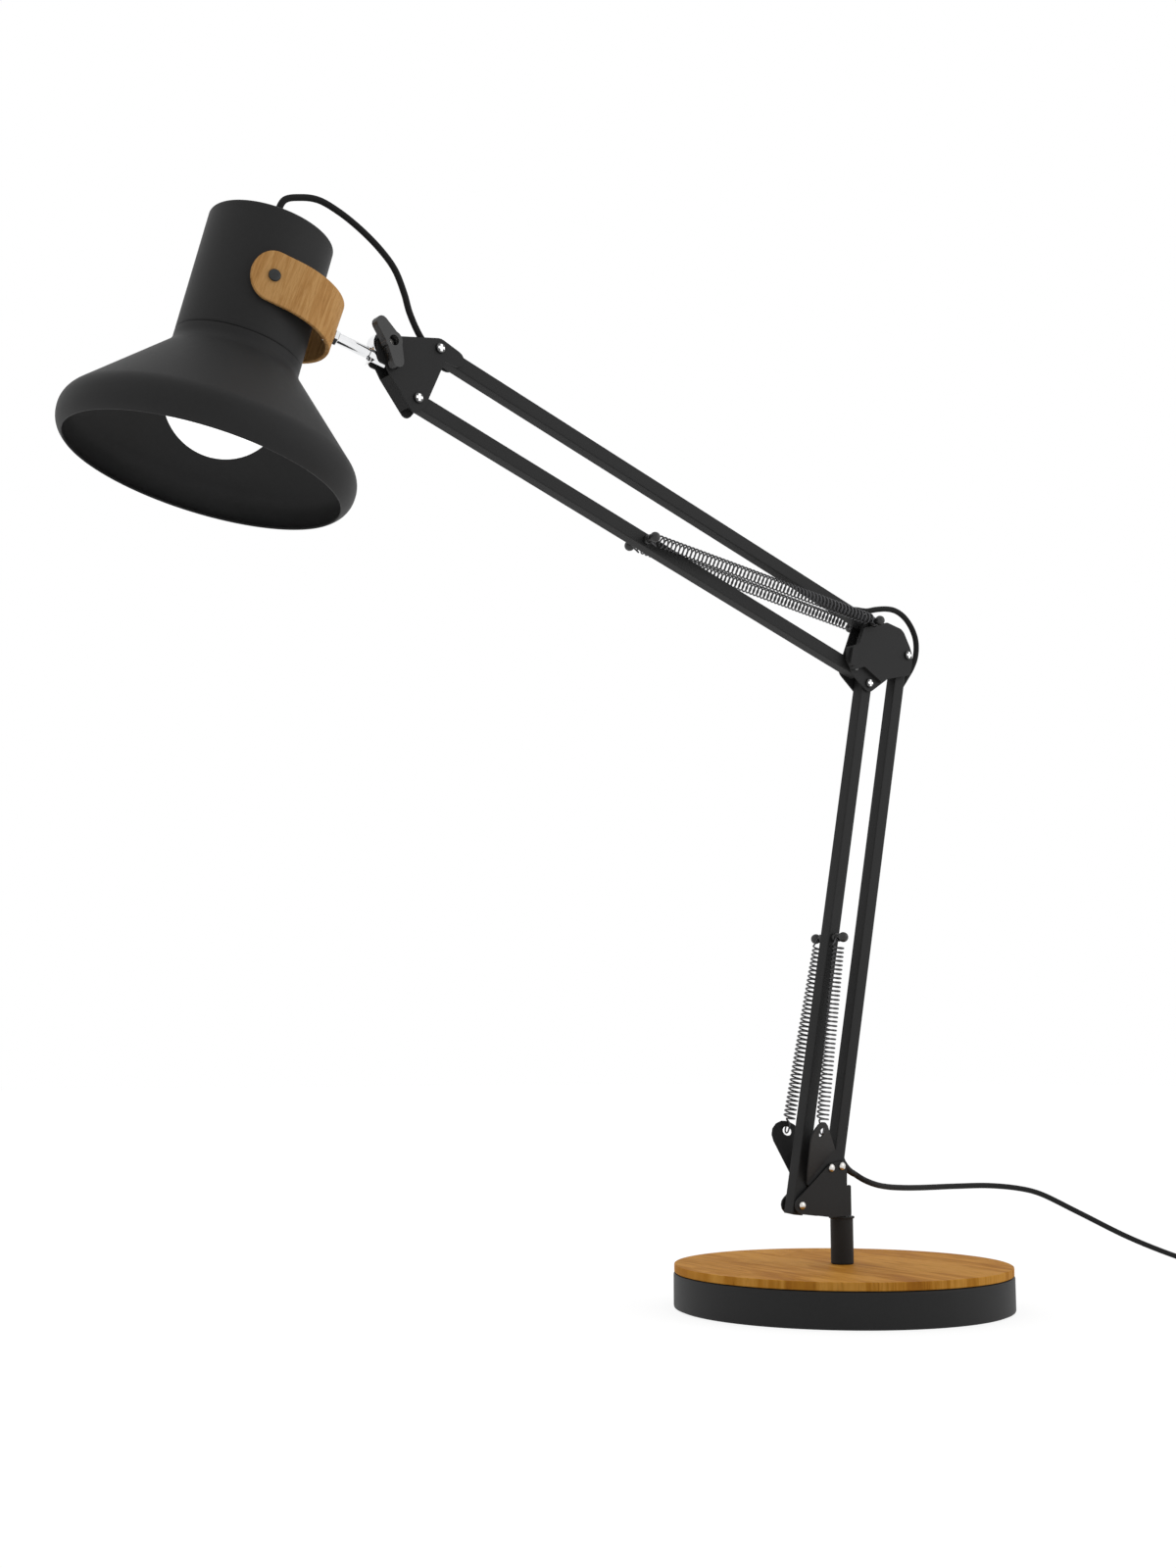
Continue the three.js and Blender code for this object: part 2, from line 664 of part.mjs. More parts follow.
const slotStart = pinRadius + 2 * seat;
const lowerPinAt = lowerArmLength * lowerPinShare;
const upperPinAt = upperArmLength * upperPinShare;
const cordExitLow = tubeElbowEnd + pinRadius;
const lowerSlotTop = lowerArmLength - 2 * cordExitLow;
placeTube('lower_front_tube', armTube(lowerArmLength, tubeEnd, tubeElbowEnd,
  [tubeHole(0), tubeHole(lowerPinAt), tubeHole(lowerArmLength)]), frontPivot, armUp);
placeTube('lower_back_tube', armTube(lowerArmLength, tubeEnd, tubeElbowEnd,
  [tubeHole(0), tubeHole(lowerArmLength), slot(-tubeEnd - overrun, slotLength, -1),
    slot(lowerSlotTop - slotLength, lowerSlotTop, -1)]), backPivot, armUp);
placeTube('upper_lower_tube', armTube(upperArmLength, tubeElbowEnd, tubeHeadEnd,
  [tubeHole(0), tubeHole(upperPinAt), tubeHole(upperArmLength)]), elbowLower, armOut);
placeTube('upper_top_tube', armTube(upperArmLength, tubeElbowEnd, tubeEnd,
  [tubeHole(0), tubeHole(upperArmLength), slot(slotStart, slotStart + slotLength, -1)]),
elbowUpper, armOut);

// Spring pins: a shaft with a collar, a groove and a ball at each end
function springPin(at, face) {
  const collarEnd = face + pinCollarLength;
  const ballCentre = collarEnd + pinGroove;
  const half = [[pinRadius, face], [pinCollarRadius, face], [pinCollarRadius, collarEnd],
    [pinGrooveRadius, collarEnd]];
  const from = Math.asin(pinGrooveRadius / pinBallRadius);
  for (let i = 0; i <= 4; i += 1) {
    const angle = from + (Math.PI - from) * (i / 4);
    const ballReach = i === 4 ? 0 : pinBallRadius * Math.sin(angle);
    half.push([ballReach, ballCentre - pinBallRadius * Math.cos(angle)]);
  }
  const mirrored = half.map(([radius, height]) => [radius, -height]).reverse();
  return across(turned([...mirrored, ...half], 10), at);
}

const lowerSpringPin = along(frontPivot, armUp, lowerPinAt);
const upperSpringPin = along(elbowLower, armOut, upperPinAt);
const pinFace = tubeFace + seat;
const elbowPinFace = innerHigh + seat;
node('lower_spring_pin', springPin(lowerSpringPin, pinFace), blackPlastic);
node('upper_spring_pin', springPin(upperSpringPin, pinFace), blackPlastic);
node('elbow_spring_pin', springPin(elbowUpper, elbowPinFace), blackPlastic);

// Elbow: two plates round four pivots, and a thicker cover plate with a folded grip
function elbowPlate(side) {
  const outline = belt([elbowFront, elbowBack, elbowUpper, elbowLower]
    .map((at) => ({ ...at, radius: elbowEar })));
  const [low, high] = side < 0 ? [-innerHigh, -innerLow] : [innerLow, innerHigh];
  const holes = [elbowFront, elbowBack, elbowLower, elbowUpper]
    .map((at) => pinHole(at, pinRadius + seat, bracketHigh + overrun));
  return shaped([plate(outline, low, high)], holes);
}

for (const [word, side] of sides) node(`elbow_plate_${word}`, elbowPlate(side), blackPaint);

function elbowCover() {
  const corner = { x: elbowBack.x - coverPivotShares[0] * coverWidth,
    z: elbowBack.z - coverPivotShares[1] * coverHeight };
  const outline = roundedOutline(coverShares.map(([x, z]) => (
    [corner.x + x * coverWidth, corner.z + z * coverHeight])), coverCorner).getPoints(3);
  const grip = roundedOutline([[-gripLength / 2, -gripWidth / 2], [gripLength / 2, -gripWidth / 2],
    [gripLength / 2, gripWidth / 2], [-gripLength / 2, gripWidth / 2]], 2 * coverCorner);
  const gripPart = plate(grip, -coverHigh - gripThickness, -coverHigh + coverSheet / 4)
    .rotateY(gripLean)
    .translate(corner.x + gripShares[0] * coverWidth, 0, corner.z + gripShares[1] * coverHeight);
  return shaped([plate(new THREE.Shape(outline.reverse()), -coverHigh, -coverLow), gripPart],
    [pinHole(elbowBack, pinRadius + seat, coverHigh + overrun),
      pinHole(elbowUpper, pinCollarRadius + 2 * seat, coverHigh + overrun + gripThickness)]);
}

node('elbow_cover', elbowCover(), blackPaint);
node('elbow_front_pin', rivet(elbowFront, innerHigh), steel);
node('elbow_back_pin', rivet(elbowBack, coverHigh, innerHigh), steel);
const flushHead = domed(pinRadius, innerHigh + seat, rivetRadius, rivetHeight).slice(2, -1).reverse()
  .map(([radius, height]) => [radius, -height]);
const flushPin = [[0, -innerHigh - seat - rivetHeight], ...flushHead, [pinRadius, innerHigh],
  [0, innerHigh]];
node('elbow_lower_pin', across(turned(flushPin, 12), elbowLower), steel);

// Springs: a wound wire between two grooves, with a straight lead at each end
function spring(name, from, to, leadFrom, leadTo) {
  const start = new THREE.Vector3(...from);
  const end = new THREE.Vector3(...to);
  const axis = end.clone().sub(start);
  const length = axis.length();
  axis.normalize();
  const side = new THREE.Vector3(0, 1, 0).cross(axis).normalize();
  const up = axis.clone().cross(side);
  const wound = length - leadFrom - leadTo;
  const centre = (distance) => start.clone().addScaledVector(axis, distance);
  const points = [centre(0), centre(springWire)];
  const total = springCurls * springSteps;
  for (let i = 0; i <= total; i += 1) {
    const angle = (2 * Math.PI * i) / springSteps;
    points.push(centre(leadFrom + (wound * i) / total)
      .addScaledVector(side, springRadius * Math.cos(angle))
      .addScaledVector(up, springRadius * Math.sin(angle)));
  }
  points.push(centre(length - springWire), centre(length));
  leastGap(name, points.slice(2, -2), springWire / 2, springSteps - 2);
  node(name, sweptTube(points, springWire / 2, springSides), steel);
}

const grooveAt = (face) => face + pinCollarLength + (pinGroove - pinBallRadius) / 2 + springWire / 2;
const earFace = { along: Math.sin(earLean), out: Math.cos(earLean) };
const earStand = earSheet / 2 + springWire / 2 + seat;
const unit = (from, to) => {
  const [dx, dz] = [to.x - from.x, to.z - from.z];
  const distance = Math.hypot(dx, dz);
  return { x: dx / distance, z: dz / distance };
};
for (const [word, side] of sides) {
  const down = unit(lowerSpringPin, earHole);
  const topEnd = along(lowerSpringPin, down, pinGrooveRadius + seat);
  const earSpot = { x: earHole.x + earFace.along * earStand * foldUp.x,
    z: earHole.z + earFace.along * earStand * foldUp.z };
  spring(`lower_spring_${word}`, [topEnd.x, side * grooveAt(pinFace), topEnd.z],
    [earSpot.x, side * (earHole.y - earFace.out * earStand), earSpot.z], springLead, springEarLead);
  const back = unit(upperSpringPin, elbowUpper);
  const headEnd = along(upperSpringPin, back, pinGrooveRadius + seat);
  const elbowEnd = along(elbowUpper, back, -pinGrooveRadius - seat);
  spring(`upper_spring_${word}`, [headEnd.x, side * grooveAt(pinFace), headEnd.z],
    [elbowEnd.x, side * grooveAt(elbowPinFace), elbowEnd.z], springLead, springLead);
}

// Head bracket: one bent sheet with two sides and a front wall
const boltHole = boltRadius + seat;
function headBracket() {
  const round = (at, circle) => ({ ...shifted(at, circle), radius: circle.radius });
  const [heel, toe] = [round(headLower, headHeel), round(clampPivot, headToe)];
  const clampEar = round(clampPivot, headClampEar);
  const main = belt([heel, { ...headLower, radius: headEar }, { ...headUpper, radius: headEar },
    clampEar, toe]);
  const guard = belt([{ ...headUpper, radius: headEar }, round(headUpper, headGuard)]);
  const foot = belt([round(clampPivot, headEarFoot), round(clampPivot, headEarHeel), clampEar]);
  const holes = [pinHole(headLower, pinRadius + seat, bracketHigh + overrun),
    pinHole(headUpper, pinRadius + seat, bracketHigh + overrun),
    pinHole(clampPivot, boltHole, bracketHigh + overrun)];
  const front = new THREE.Vector2(toe.x - heel.x, toe.z - heel.z);
  const tilt = Math.atan2(front.y, front.x) - Math.asin((heel.radius - toe.radius) / front.length());
  const outward = { x: -Math.sin(tilt), z: Math.cos(tilt) };
  const [from, to] = [heel, toe].map((circle) => along(circle, outward, circle.radius - sheet / 2));
  const wallFoot = along(from, unit(from, to), headWallStart);
  const wallLength = Math.hypot(to.x - wallFoot.x, to.z - wallFoot.z);
  const wall = new THREE.BoxGeometry(wallLength, 2 * innerHigh, sheet).rotateY(-tilt)
    .translate((wallFoot.x + to.x) / 2, 0, (wallFoot.z + to.z) / 2);
  const plates = [main, guard, foot].flatMap((outline) => (
    [plate(outline, -innerHigh, -innerLow), plate(outline, innerLow, innerHigh)]));
  return shaped([...plates, wall], holes);
}

node('head_bracket', headBracket(), blackPaint);
node('head_lower_pin', rivet(headLower, innerHigh), steel);
for (const [word, side] of sides) {
  node(`head_upper_pin_${word}`, sideRivet(headUpper, tubeFace - tubeWall, innerHigh, side), steel);
}

// Wing knob on its bolt, which clamps the eye of the stem between the sides
const knobLow = innerHigh + seat;
const knobHigh = knobLow + knobDepth;
function wingKnob() {
  const hub = across(rod(knobHubRadius, knobLow, knobHigh, 20), clampPivot);
  const wings = wingAngles.map((angle) => {
    const tip = along(clampPivot, { x: Math.cos(angle), z: Math.sin(angle) }, wingReach);
    return plate(belt([{ ...clampPivot, radius: knobHubRadius - sheet / 2 }, { ...tip, radius: wingTip }]),
      -knobHigh, -knobHigh + wingThickness);
  });
  return shaped([hub, ...wings], [pinHole(clampPivot, boltHole, knobHigh - knobRecess),
    across(rod(knobRecessRadius, knobHigh - knobRecess - sheet / 2, knobHigh + overrun, 20), clampPivot)]);
}

node('wing_knob', wingKnob(), blackPlastic);
const boltHead = extruded(polygon(6, boltHeadAcross), boltHeadHeight)
  .translate(0, 0, -innerHigh - seat - boltHeadHeight);
const boltShank = rod(boltRadius, -innerHigh - 2 * seat, knobHigh - knobRecess - seat);
node('clamp_bolt', shaped([across(boltShank, clampPivot), across(boltHead, clampPivot)]), steel);

// Stem and head ride in nested groups: the stem's axis is -X here, the yoke's screws lie on Y
const stemGroup = new THREE.Group();
stemGroup.position.set(stemCross.x, 0, stemCross.z);
stemGroup.rotation.set(stemRoll, stemRise, -stemTurn, 'ZYX');
lamp.add(stemGroup);
const alongX = (geometry) => geometry.rotateY(-Math.PI / 2);
const bendOuter = -stemLength;
const bendInner = bendOuter - yokeThickness;
const tailEnd = stemTail;
node('stem', alongX(turned([[0, -tailEnd], [stemTailRadius, -tailEnd], [stemTailRadius, 0],
  [stemRadius, stemTaper], [stemRadius, stemLength - seat], [stemTailRadius, stemLength - seat],
  [stemTailRadius, stemLength + yokeThickness + seat], [stemHeadRadius, stemLength + yokeThickness + seat],
  [stemHeadRadius, stemLength + yokeThickness + seat + stemHeadHeight],
  [0, stemLength + yokeThickness + seat + stemHeadHeight]], 16)), chrome, stemGroup);

// The eye turns on the bolt and is bored for the stem's tail
stemGroup.updateMatrix();
const onStem = (radius, low, high) => alongX(rod(radius, low, high)).applyMatrix4(stemGroup.matrix);
const eyeCut = onStem(stemTailRadius + seat, -tailEnd - seat, 2 * eyeRadius);
const shoulderCut = onStem(stemRadius + seat, -seat, 2 * eyeRadius);
const socket = onStem(socketRadius, -tailEnd - 2 * sheet, socketReach);
const eyeSlab = new THREE.BoxGeometry(4 * eyeRadius, 2 * eyeHalf, 4 * eyeRadius)
  .translate(clampPivot.x, 0, clampPivot.z);
const eye = solid(across(rod(eyeRadius, -eyeHalf, eyeHalf, 18), clampPivot))
  .add(solid(socket).intersect(solid(eyeSlab)));
node('stem_eye', shaped([geometryOf(eye)],
  [pinHole(clampPivot, boltHole, eyeHalf + overrun), eyeCut, shoulderCut]), chrome);

// Bent-wood yoke: a strap round the housing with round ends on the screws
const yokeInside = housingRadius + yokeClearance;
const screwLine = bendOuter - yokeReach;
function yoke() {
  const outerHalf = yokeInside + yokeThickness;
  const strap = (half, end, bend) => {
    const shape = new THREE.Shape();
    const tail = screwLine - yokeWidth / 2;
    shape.moveTo(tail, -half);
    shape.lineTo(end - bend, -half);
    shape.absarc(end - bend, -half + bend, bend, -Math.PI / 2, 0, false);
    shape.absarc(end - bend, half - bend, bend, 0, Math.PI / 2, false);
    shape.lineTo(tail, half);
    return shape;
  };
  const outer = strap(outerHalf, bendOuter, yokeBend);
  const inner = strap(yokeInside, bendInner, yokeBend - yokeThickness);
  const outline = new THREE.Shape([...outer.getPoints(yokeSegments),
    ...inner.getPoints(yokeSegments).reverse()]);
  const band = extruded(outline, yokeWidth).translate(0, 0, -yokeWidth / 2);
  const legEnd = new THREE.CylinderGeometry(yokeWidth / 2, yokeWidth / 2, 3 * outerHalf, 24)
    .scale(yokeEnd / (yokeWidth / 2), 1, 1).translate(screwLine, 0, 0);
  const body = new THREE.BoxGeometry(yokeReach + overrun, 3 * outerHalf, 2 * yokeWidth)
    .translate(screwLine + (yokeReach + overrun) / 2, 0, 0);
  const screwHole = yokeScrewRadius + seat;
  const screws = new THREE.CylinderGeometry(screwHole, screwHole, 3 * outerHalf, 16)
    .translate(screwLine, 0, 0);
  const stemHole = alongX(rod(stemTailRadius + seat, stemLength - overrun,
    stemLength + yokeThickness + overrun));
  return geometryOf(solid(band).intersect(solid(legEnd).add(solid(body)))
    .subtract(solid(screws)).subtract(solid(stemHole)));
}

node('yoke', yoke(), bentWood, stemGroup);

// Head on the yoke's screws: everything here lies along the head's own Z axis
const headGroup = new THREE.Group();
headGroup.position.set(screwLine, 0, 0);
headGroup.rotation.y = headTilt;
stemGroup.add(headGroup);
const housingInside = housingRadius - housingWall;
function housing() {
  const ceiling = housingTop - housingWall;
  const profile = [[nippleRadius + seat, ceiling], [housingInside - housingEdge, ceiling],
    [housingInside, ceiling - housingEdge], [housingInside, housingFoot], [housingRadius, housingFoot]];
  for (let i = 0; i <= 2; i += 1) {
    const angle = (Math.PI / 2) * (i / 2);
    profile.push([housingRadius - housingEdge * (1 - Math.cos(angle)),
      housingTop - housingEdge * (1 - Math.sin(angle))]);
  }
  profile.push([nippleRadius + seat, housingTop], profile[0]);
  const screwHole = yokeScrewRadius + seat;
  const screws = new THREE.CylinderGeometry(screwHole, screwHole, 3 * housingRadius, 16);
  return shaped([turned(profile, 32)], [screws]);
}

node('housing', housing(), blackPaint, headGroup);

// Spun shade: a collar up inside the housing, a cone, a rounded shoulder and a turned-in rim
function shade() {
  const top = housingFoot - seat;
  const level = (drop) => top - drop;
  const outer = [[housingRadius, top], [housingRadius, level(shadeNeckDrop)]];
  const neckTo = [shadeConeStart.radius, level(shadeConeStart.drop)];
  const coneTo = [shadeConeEnd.radius, level(shadeConeEnd.drop)];
  const curve = (from, control, to, steps) => {
    const bend = new THREE.QuadraticBezierCurve(new THREE.Vector2(...from), new THREE.Vector2(...control),
      new THREE.Vector2(...to));
    return bend.getPoints(steps).slice(1).map((p) => [p.x, p.y]);
  };
  const slope = (coneTo[0] - neckTo[0]) / (neckTo[1] - coneTo[1]);
  const neckControl = [housingRadius, neckTo[1] + (neckTo[0] - housingRadius) / slope];
  outer.push(...curve(outer[1], neckControl, neckTo, 2));
  outer.push(coneTo);
  const widest = [shadeMax.radius, level(shadeMax.drop)];
  outer.push(...curve(coneTo, [widest[0], coneTo[1] - (widest[0] - coneTo[0]) / slope], widest, 3));
  outer.push(...curve(widest, [widest[0], level((shadeMax.drop + 2 * shadeRim.drop) / 3)],
    [shadeRim.radius, level(shadeRim.drop)], 2));
  const collarInside = housingInside - seat - shadeWall;
  const inner = outer.map(([radius, height], i) => {
    const before = outer[Math.max(i - 1, 0)];
    const after = outer[Math.min(i + 1, outer.length - 1)];
    const [dx, dy] = [after[0] - before[0], after[1] - before[1]];
    const size = Math.hypot(dx, dy);
    return [radius + (dy / size) * shadeWall, height - (dx / size) * shadeWall];
  });
  const collar = [[collarInside, inner[1][1]], [collarInside, top + shadeCollar],
    [housingInside - seat, top + shadeCollar], [housingInside - seat, top]];
  const profile = [...outer, ...inner.slice(2).reverse(), ...collar, outer[0]];
  return turned(profile, 38);
}

node('shade', shade(), blackPaint, headGroup);

// Yoke screws through the housing's wall
for (const [word, side] of sides) {
  const yokeFace = yokeInside + yokeThickness + seat;
  const screwEnd = housingInside - yokeScrewHead;
  const points = [[0, screwEnd], [yokeScrewRadius, screwEnd],
    [yokeScrewRadius, yokeFace], [yokeScrewHead, yokeFace],
    [yokeScrewHead, yokeFace + yokeScrewHeadHeight / 2],
    [yokeScrewHead - yokeScrewHeadHeight / 2, yokeFace + yokeScrewHeadHeight],
    [0, yokeFace + yokeScrewHeadHeight]];
  const screw = turned(points, 14).rotateX(side < 0 ? Math.PI / 2 : -Math.PI / 2);
  node(`yoke_screw_${word}`, screw, blackPaint, headGroup);
}

// Lampholder with a threaded neck through the housing, and the cord gland on top of it
const holderTop = housingTop - housingWall - seat;
const holderFoot = holderTop - holderLength;
const holderFloor = holderTop - holderWall;
const cordHole = cordRadius + seat;
const neckTop = housingTop + nippleLength / 4;
const holderInside = holderFloor - holderWall;
node('lampholder', turned([[cordHole, holderInside], [cordHole, neckTop], [nippleRadius, neckTop],
  [nippleRadius, holderTop], [holderRadius, holderTop], [holderRadius, holderFoot],
  [holderBore, holderFoot], [holderBore, holderInside], [cordHole, holderInside]], 24),
blackPlastic, headGroup);
const glandFoot = housingTop + seat;
node('cord_gland', turned([[nippleRadius + seat, glandFoot], [nippleRadius + holderWall, glandFoot],
  [nippleRadius + holderWall, glandFoot + nippleLength / 4],
  [glandRadius, glandFoot + nippleLength / 4 + glandHeight],
  [cordHole, glandFoot + nippleLength / 4 + glandHeight], [cordHole, glandFoot + nippleLength / 4 + seat],
  [nippleRadius + seat, glandFoot + nippleLength / 4 + seat], [nippleRadius + seat, glandFoot]], 16),
blackPlastic, headGroup);

// Lamp: a screw cap in the holder, a neck and a frosted globe
function lampBulb() {
  const capTop = holderFloor - holderWall - seat;
  const capFoot = capTop - lampCapLength;
  const points = [[0, capTop], [lampCapRadius / 2, capTop], [lampCapRadius, capTop - lampCapRadius / 4],
    [lampCapRadius, capFoot]];
  const start = THREE.MathUtils.degToRad(52);
  const neckTo = [lampGlobeRadius * Math.sin(start), lampGlobeCentre + lampGlobeRadius * Math.cos(start)];
  const neck = new THREE.CubicBezierCurve(new THREE.Vector2(lampCapRadius, capFoot),
    new THREE.Vector2(lampNeckRadius, (capFoot + neckTo[1]) / 2),
    new THREE.Vector2(lampNeckRadius, neckTo[1] + (neckTo[0] - lampNeckRadius)),
    new THREE.Vector2(...neckTo));
  points.push(...neck.getPoints(4).slice(1, -1).map((p) => [p.x, p.y]));
  const steps = 7;
  for (let i = 0; i <= steps; i += 1) {
    const angle = start + (Math.PI - start) * (i / steps);
    const reach = i === steps ? 0 : lampGlobeRadius * Math.sin(angle);
    points.push([reach, lampGlobeCentre + lampGlobeRadius * Math.cos(angle)]);
  }
  return turned(points, 22);
}

node('lamp_bulb', lampBulb(), glass, headGroup);

// Cord held by the lamp: from the gland to the head bracket, through the tubes and round the elbow
const tubePoint = (pivot, direction, distance, lift = 0) => (
  [pivot.x + direction.x * distance - direction.z * lift, 0,
    pivot.z + direction.z * distance + direction.x * lift]);
headGroup.updateWorldMatrix(true, false);
const fromHead = (height) => (
  new THREE.Vector3(0, 0, height).applyMatrix4(headGroup.matrixWorld).toArray());
const glandTop = glandFoot + nippleLength / 4 + seat * 2;
const upperMouth = upperArmLength - tubeEnd;
const headCord = [fromHead(glandTop), fromHead(glandTop + 3 * cordRadius),
  ...headCordSteps.map(([x, y, z]) => [headUpper.x + x, y, headUpper.z + z]),
  tubePoint(elbowUpper, armOut, upperMouth - cordRadius, cordRadius / 8),
  tubePoint(elbowUpper, armOut, upperMouth)];
node('head_cord', cordTube(headCord, cordRadius, cordSteps(headCord)), rubber);

// Inside the upper tube, out of its top slot, over the elbow and into the lower tube's slot
const upperRun = [upperMouth - runGap, upperArmLength / 2, slotStart + 2 * slotLength,
  slotStart + slotLength + runGap].map((distance) => tubePoint(elbowUpper, armOut, distance));
node('upper_cord_run', cordTube(upperRun, cordRadius, 8), rubber);
const lowerSlotEnd = lowerSlotTop - lowerSlotShares[lowerSlotShares.length - 1][0] * slotLength;
const elbowCord = [tubePoint(elbowUpper, armOut, slotStart + slotLength),
  ...upperSlotShares.map(([share, drop]) => tubePoint(elbowUpper, armOut, share * slotLength, -drop)),
  ...elbowCordSteps.map(([x, z]) => [elbowBack.x + x, 0, elbowBack.z + z]),
  ...lowerSlotShares.map(([share, drop]) => (
    tubePoint(backPivot, armUp, lowerSlotTop - share * slotLength, -drop)))];
node('elbow_cord', cordTube(elbowCord, cordRadius, cordSteps(elbowCord)), rubber);
const sleeveRoute = sleeveSteps.map(([x, y, z]) => [backPivot.x + x, y, backPivot.z + z]);
const sleeveStart = new THREE.Vector3(...sleeveRoute[0]);
const sleeveBack = sleeveStart.clone().sub(new THREE.Vector3(...sleeveRoute[1])).setLength(runGap);
const lowerRun = [tubePoint(backPivot, armUp, lowerSlotEnd - runGap),
  tubePoint(backPivot, armUp, lowerArmLength / 2),
  ...lowerRunShares.map((share) => tubePoint(backPivot, armUp, share * slotLength)),
  sleeveStart.clone().addScaledVector(sleeveBack, (2 * cordRadius) / runGap).toArray(),
  sleeveStart.clone().add(sleeveBack).toArray()];
node('lower_cord_run', cordTube(lowerRun, cordRadius, 10), rubber);

// Sleeve where the cord leaves the arm, the free cord, and its surplus wound in a flat coil
node('cord_sleeve', cordTube(sleeveRoute, sleeveRadius, 8), rubber);
node('mains_cord', cordTube(freeCordRoute, cordRadius, 42), rubber);

function coil() {
  const [before, last] = freeCordRoute.slice(-2).map((p) => new THREE.Vector3(...p));
  const heading = last.clone().sub(before).setZ(0).normalize();
  const centre = new THREE.Vector3(heading.y, -heading.x, 0).multiplyScalar(coilRadius)
    .add(last).addScaledVector(heading, seat);
  const startAngle = Math.atan2(heading.x, -heading.y);
  const points = [];
  const turn = 2 * Math.PI;
  let angle = startAngle;
  let radius = coilRadius;
  let inward = -1;
  const step = turn / coilSteps;
  const put = (height) => points.push(new THREE.Vector3(centre.x + radius * Math.cos(angle),
    centre.y + radius * Math.sin(angle), height));
  coilTurns.forEach((turns, layer) => {
    const height = last.z + layer * coilPitch;
    if (layer === 0) put(height);
    for (let i = 0; i < Math.round(turns * coilSteps); i += 1) {
      angle -= step;
      radius += (inward * coilPitch) / coilSteps;
      put(height);
    }
    if (layer + 1 < coilTurns.length) {
      const rise = Math.round(coilRise * coilSteps);
      for (let i = 1; i <= rise; i += 1) {
        angle -= step;
        radius += ((i <= rise / 2 ? inward : -inward) * coilPitch) / coilSteps;
        put(height + (coilPitch * i) / rise);
      }
      inward = -inward;
    }
  });
  const end = points[points.length - 1];
  const away = new THREE.Vector3(Math.sin(angle), -Math.cos(angle), 0);
  const plugHeight = plugThickness / 2;
  for (let i = 1; i <= 8; i += 1) {
    const share = i / 8;
    const drop = Math.max(0, (share - tailDropStart) / (1 - tailDropStart));
    const eased = drop * drop * (3 - 2 * drop);
    const spot = end.clone().addScaledVector(away, tailLength * share);
    spot.z = end.z + (plugHeight - end.z) * eased;
    points.push(spot);
  }
  leastGap('cord_coil', points, cordRadius, coilSteps / 2);
  return { points, away, centre, tieAngle: startAngle + coilTieTurn };
}

const wound = coil();
node('cord_coil', sweptTube(wound.points, cordRadius, coilSides), rubber);

// Flat two-pin plug at the end of the cord
const plugGroup = new THREE.Group();
plugGroup.position.copy(wound.points[wound.points.length - 1]).addScaledVector(wound.away, seat);
plugGroup.rotation.z = Math.atan2(wound.away.y, wound.away.x);
lamp.add(plugGroup);
const plugEnd = plugBoot + plugLength;
const plugShoulder = plugBoot + plugNose;
const plugOutline = roundedOutline([[0, -plugWidth / 5], [plugBoot, -plugWidth / 5],
  [plugShoulder, -plugWidth / 2], [plugEnd, -plugWidth / 2], [plugEnd, plugWidth / 2],
  [plugShoulder, plugWidth / 2], [plugBoot, plugWidth / 5], [0, plugWidth / 5]], plugNose / 4);
const plugBody = extruded(plugOutline, plugThickness - seat, 4).translate(0, 0, -plugThickness / 2 + seat);
const plugPin = (side, radius, from) => new THREE.CylinderGeometry(radius, radius,
  plugBoot + plugLength + plugPinLength - from, 12).rotateZ(Math.PI / 2)
  .translate((plugBoot + plugLength + plugPinLength + from) / 2, (side * plugPinSpacing) / 2, 0);
const pinFrom = plugBoot + plugPinRootShare * plugLength;
node('plug_body', shaped([plugBody], [plugPin(-1, plugPinRadius + seat, pinFrom - seat),
  plugPin(1, plugPinRadius + seat, pinFrom - seat)]), rubber, plugGroup);
for (const [word, side] of sides) {
  node(`plug_pin_${word}`, plugPin(side, plugPinRadius, pinFrom), brass, plugGroup);
}

// Tie that holds the coil's turns together
function tie() {
  const low = freeCordRoute[freeCordRoute.length - 1][2];
  const height = (coilTurns.length - 1) * coilPitch;
  const spread = coilTurns[0] * coilPitch + coilRise * coilPitch / 2;
  const inside = cordRadius + tieGap;
  const [w, h] = [spread / 2 + inside, height / 2 + inside];
  const outline = (grow) => roundedOutline([[-w - grow, -h - grow], [w + grow, -h - grow],
    [w + grow, h + grow], [-w - grow, h + grow]], cordRadius + grow);
  const band = outline(tieThickness);
  band.holes.push(outline(0));
  const reach = coilRadius - spread / 2;
  return extruded(band, tieWidth, 3).translate(0, 0, -tieWidth / 2).rotateX(Math.PI / 2)
    .rotateZ(wound.tieAngle)
    .translate(wound.centre.x + reach * Math.cos(wound.tieAngle),
      wound.centre.y + reach * Math.sin(wound.tieAngle), low + height / 2);
}

node('cord_tie', tie(), blackPlastic);

export default lamp;
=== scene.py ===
import math

import bmesh
import bpy
from mathutils import Matrix, Vector


